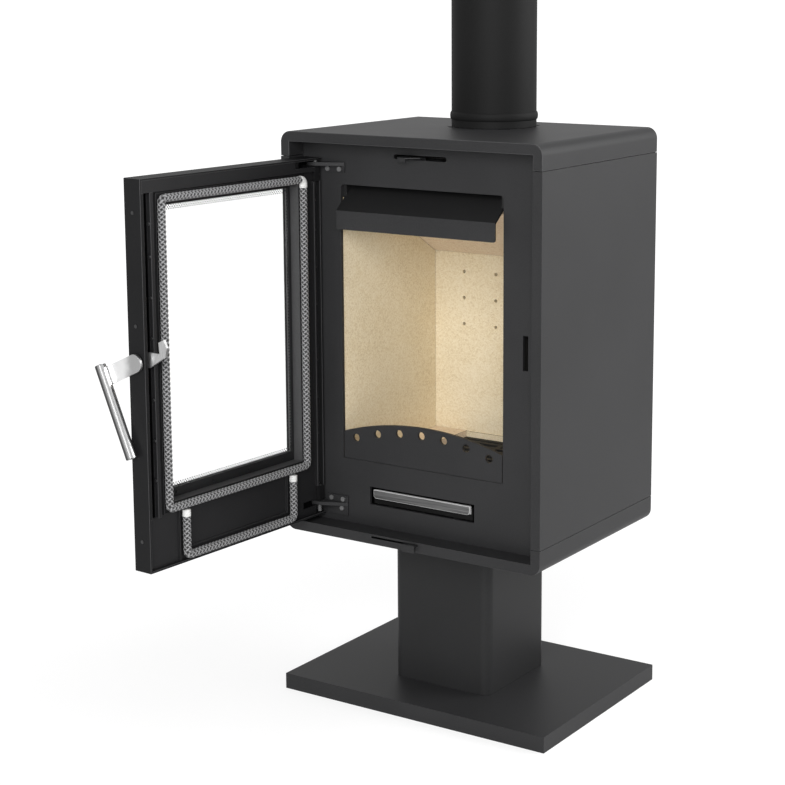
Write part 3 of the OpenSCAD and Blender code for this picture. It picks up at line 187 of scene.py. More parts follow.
def metal(name, dark, light, rough, stretch, scale=60.0, grain=0.05):
    """Bare metal with brushing: noise stretched along the grain drives tone, gloss and bump."""
    material, output, add, link = new_material(name)
    place = object_coordinates(add)
    shader = add("ShaderNodeBsdfPrincipled", Metallic=1.0)
    lines = noise(add, link, place, scale, 4.0, 0.65, stretch)
    colours = ramp(add, [(0.3, dark), (0.7, light)])
    link(lines.outputs["Fac"], colours.inputs["Fac"])
    link(colours.outputs["Color"], shader.inputs["Base Color"])
    gloss = add("ShaderNodeMapRange")
    gloss.inputs["From Min"].default_value = 0.25
    gloss.inputs["From Max"].default_value = 0.75
    gloss.inputs["To Min"].default_value = rough - 0.07
    gloss.inputs["To Max"].default_value = rough + 0.08
    link(lines.outputs["Fac"], gloss.inputs["Value"])
    link(gloss.outputs["Result"], shader.inputs["Roughness"])
    bump = add("ShaderNodeBump")
    bump.inputs["Strength"].default_value = grain
    bump.inputs["Distance"].default_value = 0.0003
    link(lines.outputs["Fac"], bump.inputs["Height"])
    link(bump.outputs["Normal"], shader.inputs["Normal"])
    link(shader.outputs["BSDF"], output.inputs["Surface"])
    return material


def yarn(name, hollow_shade_colour, strand_colour, crest_highlight_colour, rough=0.85):
    """Glass-fibre yarn: the mesh's depth runs from painted shade in hollows to highlight on crests.
    """
    material, output, add, link = new_material(name)
    place = object_coordinates(add)
    shader = add("ShaderNodeBsdfPrincipled", Roughness=rough)
    shader.inputs["Sheen Weight"].default_value = 0.15
    depth = add("ShaderNodeAttribute", attribute_name="depth")
    fibres = noise(add, link, place, 1400.0, 3.0, 0.6)
    share = add("ShaderNodeMath", operation="MULTIPLY_ADD")
    share.inputs[1].default_value = 0.3
    link(fibres.outputs["Fac"], share.inputs[0])
    shift = add("ShaderNodeMath", operation="ADD")
    shift.inputs[1].default_value = -0.15
    link(depth.outputs["Fac"], shift.inputs[0])
    link(shift.outputs[0], share.inputs[2])
    # The ramp paints shade into the hollows and a highlight onto the crests
    colours = ramp(add, [(0.45, hollow_shade_colour), (0.66, strand_colour), (0.93, crest_highlight_colour)])
    link(share.outputs[0], colours.inputs["Fac"])
    link(colours.outputs["Color"], shader.inputs["Base Color"])
    bump = add("ShaderNodeBump")
    bump.inputs["Strength"].default_value = 0.3
    bump.inputs["Distance"].default_value = 0.0004
    link(fibres.outputs["Fac"], bump.inputs["Height"])
    link(bump.outputs["Normal"], shader.inputs["Normal"])
    link(shader.outputs["BSDF"], output.inputs["Surface"])
    return material


def lines_and_reflection_bar(name):
    """Turned stainless bar: painted reflection bands by the mesh's tone, and fine lines along it.
    """
    material, output, add, link = new_material(name)
    shader = add("ShaderNodeBsdfPrincipled", Metallic=1.0)
    place = add("ShaderNodeCombineXYZ")
    for key, socket in (("across", "X"), ("above", "Y"), ("far", "Z")):
        value = add("ShaderNodeAttribute", attribute_name=key)
        link(value.outputs["Fac"], place.inputs[socket])
    fine = add("ShaderNodeTexNoise", Scale=26.0, Detail=3.0, Roughness=0.6)
    link(place.outputs[0], fine.inputs["Vector"])
    # The tone around the bar is a painted reflection of bright and dark bands
    tone = add("ShaderNodeAttribute", attribute_name="tone")
    lines = add("ShaderNodeMapRange")
    lines.inputs["To Min"].default_value = 0.8
    lines.inputs["To Max"].default_value = 1.2
    link(fine.outputs["Fac"], lines.inputs["Value"])
    both = add("ShaderNodeMath", operation="MULTIPLY")
    link(tone.outputs["Fac"], both.inputs[0])
    link(lines.outputs["Result"], both.inputs[1])
    colours = ramp(add, [(0.0, (0.0, 0.0, 0.0)), (1.0, (1.0, 1.0, 1.0))])
    link(both.outputs[0], colours.inputs["Fac"])
    link(colours.outputs["Color"], shader.inputs["Base Color"])
    gloss = add("ShaderNodeMapRange")
    gloss.inputs["To Min"].default_value = 0.24
    gloss.inputs["To Max"].default_value = 0.38
    link(fine.outputs["Fac"], gloss.inputs["Value"])
    link(gloss.outputs["Result"], shader.inputs["Roughness"])
    link(shader.outputs["BSDF"], output.inputs["Surface"])
    return material


def highlight_painted_steel(name, bright, dull, start, end):
    """Sheet steel whose painted highlight fades from bright to dull between two places along X."""
    material, output, add, link = new_material(name)
    place = object_coordinates(add)
    shader = add("ShaderNodeBsdfPrincipled", Metallic=1.0, Roughness=0.34)
    parts = add("ShaderNodeSeparateXYZ")
    link(place, parts.inputs[0])
    clouds = noise(add, link, place, 90.0, 3.0, 0.6)
    shifted = add("ShaderNodeMath", operation="MULTIPLY_ADD")
    shifted.inputs[1].default_value = 0.012
    link(clouds.outputs["Fac"], shifted.inputs[0])
    link(parts.outputs["X"], shifted.inputs[2])
    fade = add("ShaderNodeMapRange")
    fade.interpolation_type = "SMOOTHSTEP"
    fade.inputs["From Min"].default_value = start + 0.006
    fade.inputs["From Max"].default_value = end + 0.006
    link(shifted.outputs[0], fade.inputs["Value"])
    colours = ramp(add, [(0.0, bright), (1.0, dull)])
    link(fade.outputs["Result"], colours.inputs["Fac"])
    link(colours.outputs["Color"], shader.inputs["Base Color"])
    link(shader.outputs["BSDF"], output.inputs["Surface"])
    return material


def clear_glass(name):
    """Heat-proof glass with the faintest grey bloom."""
    material, output, add, link = new_material(name)
    place = object_coordinates(add)
    shader = add("ShaderNodeBsdfPrincipled")
    shader.inputs["Transmission Weight"].default_value = 1.0
    shader.inputs["IOR"].default_value = 1.47
    bloom = noise(add, link, place, 14.0, 3.0, 0.6)
    colours = ramp(add, [(0.3, (0.992, 0.996, 0.994)), (0.7, (1.0, 1.0, 1.0))])
    link(bloom.outputs["Fac"], colours.inputs["Fac"])
    link(colours.outputs["Color"], shader.inputs["Base Color"])
    gloss = add("ShaderNodeMapRange")
    gloss.inputs["To Min"].default_value = 0.0
    gloss.inputs["To Max"].default_value = 0.01
    link(bloom.outputs["Fac"], gloss.inputs["Value"])
    link(gloss.outputs["Result"], shader.inputs["Roughness"])
    link(shader.outputs["BSDF"], output.inputs["Surface"])
    return material


body_paint = sprayed_paint("body_paint", (0.0176, 0.0176, 0.0183), (0.0272, 0.0272, 0.0283), 0.47)
# A darker copy of the body paint for the pedestal: painted shade
shaded_stand_paint = sprayed_paint("shaded_stand_paint", (0.0135, 0.0136, 0.0140), (0.0210, 0.0211, 0.0218), 0.5)
# A lighter copy of the body paint for the casing's rounded edges: painted highlight
edge_highlight_paint = sprayed_paint("edge_highlight_paint", (0.04, 0.04, 0.041), (0.065, 0.065, 0.067), 0.45)
shade_paint = sprayed_paint("shade_paint", (0.0070, 0.0070, 0.0073), (0.0115, 0.0115, 0.0118), 0.55)
# A darker copy of the body paint for the door: painted shade
door_paint_shaded = sprayed_paint(
    "door_paint_shaded", (0.0062, 0.0062, 0.0066), (0.0108, 0.0108, 0.0114), 0.5, gloss_level=0.12
)
# Lighter than the door's paint and darker than the body's, for the door's inner side: painted light
# and shade
inner_paint_light_and_shade = sprayed_paint(
    "inner_paint_light_and_shade", (0.0092, 0.0091, 0.0097), (0.0160, 0.0159, 0.0168), 0.5, gloss_level=0.15
)
# A lighter paint for the door's rounded edges: painted highlight
door_edge_highlight = sprayed_paint("door_edge_highlight", (0.035, 0.035, 0.036), (0.055, 0.055, 0.057), 0.45)
# A lighter copy of the door's paint for the window's reveal: painted light
reveal_lit_paint = sprayed_paint("reveal_lit_paint", (0.04, 0.04, 0.041), (0.06, 0.06, 0.061), 0.5)
screw_paint = sprayed_paint(
    "screw_paint", (0.08, 0.08, 0.08), (0.15, 0.15, 0.152), 0.4, gloss_level=0.5
)
# A pale paint for the ash strip's top face and edges: painted highlight
strip_highlight_paint = sprayed_paint("strip_highlight_paint", (0.45, 0.45, 0.45), (0.6, 0.6, 0.6), 0.4, gloss_level=0.4)
dark_screw = sprayed_paint(
    "dark_screw", (0.008, 0.008, 0.0085), (0.02, 0.02, 0.021), 0.3, gloss_level=0.6
)
# Black steel for the ash pan and box, darker than any paint: its own black and painted shade
black_steel_and_shade = sprayed_paint(
    "black_steel_and_shade", (0.003, 0.003, 0.003), (0.007, 0.007, 0.007), 0.6, gloss_level=0.1
)
flue_paint = sprayed_paint(
    "flue_paint", (0.0065, 0.0065, 0.0065), (0.0105, 0.0105, 0.0106), 0.6, 0.04, gloss_level=0.12
)
soot_steel = sprayed_paint("soot_steel", (0.012, 0.0115, 0.011), (0.035, 0.033, 0.031), 0.7, 0.12)
iron = sprayed_paint("cast_iron", (0.012, 0.012, 0.012), (0.03, 0.03, 0.03), 0.65, 0.35)
tan_board = vermiculite_board(
    "vermiculite", (0.58, 0.46, 0.29), (0.75, 0.64, 0.44), (0.84, 0.75, 0.57)
)
rose_board = vermiculite_board(
    "vermiculite_rose", (0.58, 0.43, 0.29), (0.76, 0.62, 0.46), (0.84, 0.73, 0.59)
)
brushed = metal("stainless", (0.50, 0.50, 0.50), (0.70, 0.70, 0.70), 0.3, (1.0, 1.0, 0.05), 900.0)
strip_steel = metal(
    "strip_steel", (0.07, 0.07, 0.07), (0.26, 0.26, 0.26), 0.36, (0.02, 1.0, 1.0), 500.0
)
zinc = metal("zinc_steel", (0.25, 0.25, 0.26), (0.42, 0.42, 0.43), 0.38, (1.0, 1.0, 1.0), 500.0)
rope_yarn = yarn(
    "glass_fibre_rope", (0.012, 0.012, 0.012), (0.10, 0.10, 0.103), (0.28, 0.28, 0.285)
)
tape_yarn = yarn("white_tape", (0.30, 0.30, 0.29), (0.62, 0.62, 0.61), (0.80, 0.80, 0.79))
gasket_yarn = sprayed_paint("glass_gasket", (0.09, 0.09, 0.09), (0.22, 0.22, 0.22), 0.85, 0.5)
pane = clear_glass("door_glass")
# Turned stainless with a painted reflection around it
lines_and_reflection = lines_and_reflection_bar("turned_stainless")
# Places along X, in metres, where the arm's painted highlight starts and ends its fade
ARM_FADE_START, ARM_FADE_END = -0.230, -0.211
arm_highlight_steel = highlight_painted_steel(
    "arm_highlight_steel", (1.0, 1.0, 1.0), (0.47, 0.47, 0.47), ARM_FADE_START, ARM_FADE_END
)
fringe_print = sprayed_paint("edge_print", (0.02, 0.02, 0.02), (0.05, 0.05, 0.05), 0.8)
board_edge = sprayed_paint("board_edge", (0.16, 0.12, 0.075), (0.26, 0.2, 0.13), 0.9)

FINISH = {
    body_paint: [
        "base_plate", "base_underplate", "bottom_tray", "side_panel_left",
        "side_panel_right", "top_lid", "rear_panel", "front_plate", "deflector",
        "hinge_bracket_top", "hinge_bracket_bottom", "log_fence", "top_air_slide",
        "bottom_air_slide",
    ],
    shaded_stand_paint: ["pedestal_column"],
    flue_paint: ["flue_collar", "flue_pipe"],
    door_paint_shaded: ["door_shell", "door_hinge_lugs"],
    inner_paint_light_and_shade: ["door_inner_frame", "door_side_ribs", "glass_retainer", "glass_screws"],
    dark_screw: ["channel_screws", "edge_screws"],
    screw_paint: ["hinge_screws", "hinge_pins"],
    black_steel_and_shade: ["ash_pan", "ash_box"],
    soot_steel: [
        "firebox_side_left", "firebox_side_right", "firebox_back", "firebox_top", "firebox_floor",
        "firebox_feet", "airwash_duct", "top_slide_rails", "bottom_slide_seat",
    ],
    tan_board: ["lining_left", "lining_right", "lining_back", "base_brick_right", "base_brick_rear",
                "base_brick_front"],
    rose_board: ["baffle_board", "base_brick_left"],
    iron: ["grate"],
    brushed: ["handle_bar", "latch_hook", "latch_shaft"],
    arm_highlight_steel: ["handle_arm"],
    strip_steel: ["ash_pan_handle"],
    zinc: ["column_bolts", "rear_panel_screws", "handle_bush"],
    rope_yarn: ["door_rope", "ash_door_rope"],
    tape_yarn: ["rope_tape"],
    gasket_yarn: ["glass_gasket"],
    pane: ["door_glass"],
}
for material, names in FINISH.items():
    for name in names:
        slots = nodes[name].material_slots
        if not slots:
            nodes[name].data.materials.append(material)
        for slot in slots:
            slot.material = material


# ---------------------------------------------------------------- edges


def soften(name, width, edge=None, segments=2, angle=30.0):
    """Joins a node's loose triangles into whole flats and rounds its edges, in millimetres.

    An edge paint goes on the rounded edges alone: painted highlight on steel, dark joints on
    boards.
    """
    node = nodes[name]
    weld = node.modifiers.new("join", "WELD")
    weld.merge_threshold = 1e-6
    flats = node.modifiers.new("flats", "DECIMATE")
    flats.decimate_type = "DISSOLVE"
    flats.angle_limit = math.radians(0.4)
    bevel = node.modifiers.new("edges", "BEVEL")
    bevel.width = width * MM
    bevel.segments = segments
    bevel.limit_method = "ANGLE"
    bevel.angle_limit = math.radians(angle)
    bevel.use_clamp_overlap = True
    if edge:
        node.data.materials.append(edge)
        bevel.material = len(node.data.materials) - 1
    even = node.modifiers.new("shading", "WEIGHTED_NORMAL")
    even.mode = "FACE_AREA"
    even.keep_sharp = False
    node.data.polygons.foreach_set("use_smooth", np.full(len(node.data.polygons), True))


# Width, edge paint and nodes; the lighter edge paints are painted highlight, board_edge dark joints
EDGES = [
    (1.4, None, ["deflector"]),
    (0.8, None, ["base_plate", "pedestal_column", "grate"]),
    (0.8, edge_highlight_paint, ["bottom_tray", "side_panel_left", "side_panel_right", "top_lid"]),
    (0.5, None, ["hinge_bracket_top", "hinge_bracket_bottom"]),
    (0.2, None, ["front_plate", "log_fence"]),
    (0.5, door_edge_highlight, ["door_shell", "door_side_ribs"]),
    (0.3, door_edge_highlight, ["door_inner_frame"]),
    (0.5, board_edge, ["lining_left", "lining_right", "lining_back", "baffle_board",
                       "base_brick_left", "base_brick_right", "base_brick_front",
                       "base_brick_rear"]),
    (0.5, None, ["handle_arm", "latch_hook"]),
    (1.0, strip_highlight_paint, ["ash_pan_handle"]),
    (0.3, None, ["glass_retainer", "rear_panel", "ash_pan", "top_air_slide", "bottom_air_slide"]),
]
for width, edge, names in EDGES:
    for name in names:
        soften(name, width, edge)


# ---------------------------------------------------------------- pieces on the door

hinge = next(j for j in frame["joints"] if j["name"] == "door_hinge")
PIN = np.array(hinge["pos_m"][:2])
DOOR_TURN = -math.radians(hinge["range_deg"][1])


def swing(points):
    """Points of the shut door, in metres, turned with the door to where it stands open.

    x' = px + (x - px) cos a - (y - py) sin a, and y' = py + (x - px) sin a + (y - py) cos a.
    """
    points = np.asarray(points, float)
    turned = points.copy()
    dx, dy = points[..., 0] - PIN[0], points[..., 1] - PIN[1]
    turned[..., 0] = PIN[0] + dx * math.cos(DOOR_TURN) - dy * math.sin(DOOR_TURN)
    turned[..., 1] = PIN[1] + dx * math.sin(DOOR_TURN) + dy * math.cos(DOOR_TURN)
    return turned


def add_mesh(name, points, faces, material, body, smooth=True, slot=None, **attributes):
    """A piece from an array of points (metres, the part's frame) and faces, riding on a body."""
    mesh = bpy.data.meshes.new(name)
    corners = [tuple(p) for p in np.asarray(points, float)]
    mesh.from_pydata(corners, [], [list(map(int, face)) for face in faces])
    for key, values in attributes.items():
        layer = mesh.attributes.new(key, "FLOAT", "POINT")
        layer.data.foreach_set("value", np.asarray(values, np.float32).ravel())
    mesh.polygons.foreach_set("use_smooth", np.full(len(mesh.polygons), smooth))
    mesh.materials.append(material)
    piece = bpy.data.objects.new(name, mesh)
    bpy.context.scene.collection.objects.link(piece)
    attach(piece, body)
    return piece


def grid_faces(rows, columns):
    """Quads of a grid that is closed around its columns, with a fan cap at each end."""
    r = np.arange(rows - 1)[:, None]
    c = np.arange(columns)[None, :]
    d = (c + 1) % columns
    here, below = r * columns, (r + 1) * columns
    faces = np.stack([here + c, here + d, below + d, below + c], -1).reshape(-1, 4).tolist()
    first, last = rows * columns, rows * columns + 1
    top = (rows - 1) * columns
    for k in range(columns):
        faces.append([first, (k + 1) % columns, k])
        faces.append([last, top + k, top + (k + 1) % columns])
    return faces


def rope_track(corners, bend, step):
    """Even points along straight runs joined by quarter bends, in the door's XZ plane.

    At each inner corner the track leaves the run one bend radius early and follows
    centre + bend * (cos t, sin t).  All points are then spaced evenly by their length.
    """
    corners = [np.array(c, float) for c in corners]
    points = [corners[0]]
    for before, corner, after in zip(corners, corners[1:], corners[2:]):
        into = (corner - before) / np.linalg.norm(corner - before)
        out = (after - corner) / np.linalg.norm(after - corner)
        centre = corner - into * bend + out * bend
        for t in np.linspace(0.0, math.pi / 2, 17):
            points.append(centre - out * bend * math.cos(t) + into * bend * math.sin(t))
    points.append(corners[-1])
    points = np.array(points)
    gaps = np.linalg.norm(np.diff(points, axis=0), axis=1)
    length = np.concatenate([[0.0], np.cumsum(gaps)])
    where = np.linspace(0.0, length[-1], int(length[-1] / step) + 1)
    track = np.stack([np.interp(where, length, points[:, k]) for k in (0, 1)], 1)
    return track, where


def tube(track, middle_y, radius_at, columns):
    """Rows of points around a track: centre + radius * (n cos t + y sin t), in millimetres.

    n is the track's normal in the door's plane, y points across the door's thickness, and
    radius_at gives the radius for the angles of every row.
    """
    ahead = np.gradient(track, axis=0)
    ahead /= np.linalg.norm(ahead, axis=1)[:, None]
    across = np.stack([-ahead[:, 1], ahead[:, 0]], 1)
    angle = np.arange(columns) * 2 * math.pi / columns
    radius = radius_at(np.broadcast_to(angle[None, :], (len(track), columns)))
    x = track[:, None, 0] + radius * np.cos(angle) * across[:, None, 0]
    z = track[:, None, 1] + radius * np.cos(angle) * across[:, None, 1]
    y = middle_y + radius * np.sin(angle)[None, :]
    return np.stack([x, y, z], -1)


def with_ends(track, rows, depth, end_depth):
    """The rows as one list of points with a middle point for each end, and all their depths."""
    ends = np.array([[track[0, 0], ROPE_Y, track[0, 1]], [track[-1, 0], ROPE_Y, track[-1, 1]]])
    points = np.vstack([rows.reshape(-1, 3), ends])
    return points, np.concatenate([depth.ravel(), [end_depth, end_depth]])


# The ropes' centre lines on the shut door: depth, bend, half width, low and high runs
ROPE_Y = -140.4
ROPE_BEND = 6.1
ROPE_X = 143.5
ROPE_LOW, ROPE_HIGH = 362.0, 787.0
ASH_ROPE_X = 111.5
ASH_ROPE_LOW, ASH_ROPE_TOP = 289.0, 353.7
# The corner tape reaches this far along the top run and down the upright
TAPE_SIDE, TAPE_DOWN = ROPE_BEND + 1.0, ROPE_BEND + 5.5


# The braid: strands around the rope, length of a crossing, core, height of a strand, the
# roundness of its profile, how far the under strand sinks, fuzz, and the depth of the ends
WALES, PITCH, CORE, LIFT = 4, 6.65, 4.35, 1.25
STRAND_SHAPE, UNDER, FUZZ, ROPE_END_DEPTH = 1.5, 0.28, 0.05, 0.2


def braided_rope(name, corners, node, columns=40, step=0.6):
    """A braided sealing rope: radius = core + lift * height of the higher strand + fuzz.

    With u = wales * angle / 2 pi and v = length / pitch, strands of the two families have
    the profiles |cos pi (u + v)| and |cos pi (u - v)|, to the power 1.5.  They pass over and
    under each other in turn; the deep places between them are dark specks of painted shade.
    """
    track, where = rope_track(corners, ROPE_BEND, step)
    v = (where / PITCH)[:, None]

    def radius_at(angle):
        u = WALES * angle / (2 * math.pi)
        first, second = u + v, u - v
        over = (np.floor(first + 0.5) + np.floor(second + 0.5)) % 2
        one = np.abs(np.cos(math.pi * first)) ** STRAND_SHAPE
        two = np.abs(np.cos(math.pi * second)) ** STRAND_SHAPE
        height = np.maximum(one * (1.0 - UNDER + UNDER * over), two * (1.0 - UNDER * over))
        radius_at.height = height
        fuzz = FUZZ * rng.standard_normal(height.shape)
        return CORE + LIFT * height + fuzz

    rows = tube(track, ROPE_Y, radius_at, columns)
    points, depth = with_ends(track, rows, radius_at.height, ROPE_END_DEPTH)
    piece = add_mesh(name, swing(points * MM), grid_faces(len(track), columns), rope_yarn, "door",
                     slot="glass_fibre_rope", depth=depth)
    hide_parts(node)


braided_rope(
    "braided_rope_main",
    [(-ROPE_X + TAPE_SIDE - 0.8, ROPE_HIGH), (ROPE_X, ROPE_HIGH), (ROPE_X, ROPE_LOW),
     (-ROPE_X, ROPE_LOW), (-ROPE_X, ROPE_HIGH - TAPE_DOWN + 3.0)],
    "door_rope",
)
braided_rope(
    "braided_rope_ash",
    [(ASH_ROPE_X, ASH_ROPE_TOP - 6.0), (ASH_ROPE_X, ASH_ROPE_LOW), (-ASH_ROPE_X, ASH_ROPE_LOW),
     (-ASH_ROPE_X, ASH_ROPE_TOP - 6.0)],
    "ash_door_rope",
)


# The tape: its radius, the creases' height and spacing, the weave's height, spacing and
# threads around it, and the depth of its ends
TAPE_RADIUS, CREASE, CREASE_PITCH = 5.78, 0.05, 3.1
WEAVE, WEAVE_PITCH, THREADS, TAPE_END_DEPTH = 0.02, 1.4, 24, 0.7


def cloth_tape(name, corners, columns=48, step=0.5):
    """Cloth tape wrapped around the rope: small creases across it and a soft weave.

    The radius is that of the tape + a sine of the creases along it + an over-and-under weave.
    """
    track, where = rope_track(corners, ROPE_BEND, step)
    s = where[:, None]

    def radius_at(angle):
        crease = CREASE * np.sin(2 * math.pi * s / CREASE_PITCH + 1.5 * np.sin(angle * 2.0))
        weave = np.sign(np.sin(2 * math.pi * s / WEAVE_PITCH) * np.sin(THREADS * angle))
        # The depth value gives the yarn painted shade where the weave passes under and in the
        # creases
        radius_at.depth = np.clip(0.75 + 0.25 * weave + crease, 0.0, 1.0)
        return TAPE_RADIUS + crease + WEAVE * weave

    rows = tube(track, ROPE_Y, radius_at, columns)
    points, depth = with_ends(track, rows, radius_at.depth, TAPE_END_DEPTH)
    return add_mesh(name, swing(points * MM), grid_faces(len(track), columns), tape_yarn, "door",
                    slot="white_tape", depth=depth)


corner_tape = cloth_tape(
    "cloth_tape_corner",
    [(-ROPE_X + TAPE_SIDE, ROPE_HIGH), (-ROPE_X, ROPE_HIGH), (-ROPE_X, ROPE_HIGH - TAPE_DOWN)],
)
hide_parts("rope_tape")
for side, x in (("free", ASH_ROPE_X), ("hinge", -ASH_ROPE_X)):
    cloth_tape(f"cloth_tape_{side}", [(x, ASH_ROPE_TOP), (x, ASH_ROPE_TOP - 9.0)])


def paint_faces(name, material, inside, on_door=False):
    """Gives a second paint to the faces of a node whose middle lies inside.

    The middles are in millimetres, and those of the door's nodes are taken on the shut door.
    """
    mesh = nodes[name].data
    mesh.materials.append(material)
    middles = np.empty(len(mesh.polygons) * 3)
    mesh.polygons.foreach_get("center", middles)
    middles = middles.reshape(-1, 3)
    if on_door:
        dx, dy = middles[:, 0] - PIN[0], middles[:, 1] - PIN[1]
        middles = middles.copy()
        middles[:, 0] = PIN[0] + dx * math.cos(DOOR_TURN) + dy * math.sin(DOOR_TURN)
        middles[:, 1] = PIN[1] - dx * math.sin(DOOR_TURN) + dy * math.cos(DOOR_TURN)
    index = np.where(inside(middles / MM), len(mesh.materials) - 1, 0)
    mesh.polygons.foreach_set("material_index", index.astype(np.int32))


# Half width, low and high edge of the window's reveal in the shut door
REVEAL_X, REVEAL_LOW, REVEAL_HIGH = 136.2, 369.3, 779.7
# The reveal's faces take the lighter reveal paint: painted light
paint_faces(
    "door_inner_frame",
    reveal_lit_paint,
    lambda p: (abs(p[:, 0]) < REVEAL_X) & (p[:, 2] > REVEAL_LOW) & (p[:, 2] < REVEAL_HIGH),
    on_door=True,
)
# Heights above which the deflector has painted shade and the ash strip's top face painted highlight
DEFLECTOR_FOLD, STRIP_TOP = 742.5, 327.5
paint_faces("deflector", shade_paint, lambda p: p[:, 2] > DEFLECTOR_FOLD)
paint_faces("ash_pan_handle", strip_highlight_paint, lambda p: p[:, 2] > STRIP_TOP)


def dots(name, centres, radius, thick, material, body, sides=6):
    """Small flat discs facing out of the shut door's inner side, all in one piece."""
    angle = np.arange(sides) * 2 * math.pi / sides
    ring = np.stack([np.cos(angle), np.zeros(sides), np.sin(angle)], 1) * radius
    back, front = ring.copy(), ring.copy()
    front[:, 1] += thick
    one = np.vstack([back, front])
    centres = np.asarray(centres, float)
    points = (centres[:, None, :] + one[None]).reshape(-1, 3)
    faces = []
    for k in range(len(centres)):
        b = k * 2 * sides
        faces.append([b + q for q in range(sides)])
        faces.append([b + sides + q for q in reversed(range(sides))])
        faces += [
            [b + (q + 1) % sides, b + q, b + sides + q, b + sides + (q + 1) % sides]
            for q in range(sides)
        ]
    return add_mesh(name, swing(points * MM), faces, material, body, smooth=False)


# The pane's inner side, and the half width, low and high edge of what is seen of it
GLASS_INNER_Y = -161.0
WINDOW_X, WINDOW_LOW, WINDOW_HIGH = 131.0, 383.0, 774.5
# The dots: spacing along a row and between rows, radius, thickness, first row's distance
DOT_PITCH, ROW_PITCH, DOT_RADIUS, DOT_THICK, DOT_INSET = 4.6, 2.4, 1.1, 0.06, 1.2


def glass_fringe():
    """Small dots along the pane's edges: three staggered rows at its top and bottom."""
    centres = []
    for edge, inwards in ((WINDOW_LOW, 1.0), (WINDOW_HIGH, -1.0)):
        for row in range(3):
            start = -WINDOW_X + 1.5 + DOT_PITCH / 2 * (row % 2)
            for x in np.arange(start, WINDOW_X - 1.0, DOT_PITCH):
                z = edge + inwards * (DOT_INSET + ROW_PITCH * row)
                centres.append((x, GLASS_INNER_Y, z))
    for edge, inwards in ((WINDOW_X, -1.0), (-WINDOW_X, 1.0)):
        for z in np.arange(WINDOW_LOW + 8.0, WINDOW_HIGH - 8.0, DOT_PITCH):
            centres.append((edge + inwards * DOT_INSET, GLASS_INNER_Y, z))
    return dots("glass_edge_dots", centres, DOT_RADIUS, DOT_THICK, fringe_print, "door")


glass_fringe()


# Painted reflection on the turned bar: its tone by the angle around it, in degrees, from one dark
# side to the other, the angle that the first of them stands for, and the tone of the bar's two ends
BAR_ANGLES = (0, 24, 41, 54, 65, 75, 85, 95, 104, 114, 126, 139, 156, 180)
BAR_REFLECTION_TONES = (0.06, 0.05, 0.07, 0.28, 0.45, 0.24, 0.12, 0.08, 0.5, 1.0, 1.0, 0.7, 0.3, 0.2)
BAR_START = 42.0
BAR_END_REFLECTION_TONE = 0.4


def turned_bar():
    """The handle's bar: a round bar with chamfered ends, turned, with lines along it.

    Each row of points is centre + r (a cos t + b sin t); the row's radius follows the
    profile (0, r - 0.9), (0.9, r), (l - 0.9, r), (l, r - 0.9) and both ends are closed.
    """
    mesh = nodes["handle_bar"].data
    points = np.empty(len(mesh.vertices) * 3)
    mesh.vertices.foreach_get("co", points)
    points = points.reshape(-1, 3)
    rough_axis = np.linalg.svd(points - points.mean(0), full_matrices=False)[2][0]
    if rough_axis[2] > 0:
        rough_axis = -rough_axis
    along = points @ rough_axis
    upper, lower = points[along < along.mean()], points[along > along.mean()]
    upper, lower = (upper.min(0) + upper.max(0)) / 2, (lower.min(0) + lower.max(0)) / 2
    axis = (lower - upper) / np.linalg.norm(lower - upper)
    middle = (upper + lower) / 2
    length = np.linalg.norm(lower - upper)
    spread = points - middle
    radius = np.linalg.norm(spread - (spread @ axis)[:, None] * axis, axis=1).min()
    side = np.cross(axis, (0.0, 0.0, 1.0))
    side /= np.linalg.norm(side)
    other = np.cross(axis, side)
    columns, chamfer = 64, 0.9 * MM
    profile = [(0.0, radius * 0.5), (0.0, radius - chamfer), (chamfer, radius)]
    profile += [(chamfer + (length - 2 * chamfer) * q, radius) for q in np.linspace(0.05, 0.95, 12)]
    profile += [(length - chamfer, radius), (length, radius - chamfer), (length, radius * 0.5)]
    angle = np.arange(columns) * 2 * math.pi / columns
    rows = [
        middle
        + axis * (at - length / 2)
        + r * (np.cos(angle)[:, None] * side + np.sin(angle)[:, None] * other)
        for at, r in profile
    ]
    ends = [middle - axis * length / 2, middle + axis * length / 2]
    all_points = np.vstack(rows + [ends])
    across = np.concatenate([np.tile(np.cos(angle), len(profile)), [0.0, 0.0]])
    above = np.concatenate([np.tile(np.sin(angle), len(profile)), [0.0, 0.0]])
    far = np.concatenate([np.repeat([at for at, _ in profile], columns), [0.0, length]])
    # Painted reflection: the tone of each angle around the bar
    turn = np.abs((BAR_START - np.degrees(angle) + 180.0) % 360.0 - 180.0)
    reflection_tones = np.interp(turn, BAR_ANGLES, BAR_REFLECTION_TONES)
    tone = np.concatenate([np.tile(reflection_tones, len(profile)), [BAR_END_REFLECTION_TONE, BAR_END_REFLECTION_TONE]])
    piece = add_mesh("turned_handle_bar", all_points, grid_faces(len(profile), columns),
                     lines_and_reflection, "handle", slot="stainless",
                     across=across, above=above, far=far, tone=tone)
    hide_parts("handle_bar")
    piece.data.set_sharp_from_angle(angle=math.radians(30))


turned_bar()


# ---------------------------------------------------------------- camera, floor and lamps

# Place of the camera, its turn about the vertical, its downward tilt and its roll
CAMERA_PLACE = (1.4638, -2.3191, 1.0737)
CAMERA_AZIMUTH = 33.205
CAMERA_DROP = 9.787
CAMERA_ROLL = -0.138
CAMERA_FOCAL_PIXELS = 1869.2
CAMERA_CENTRE = (440.0, 300.0)


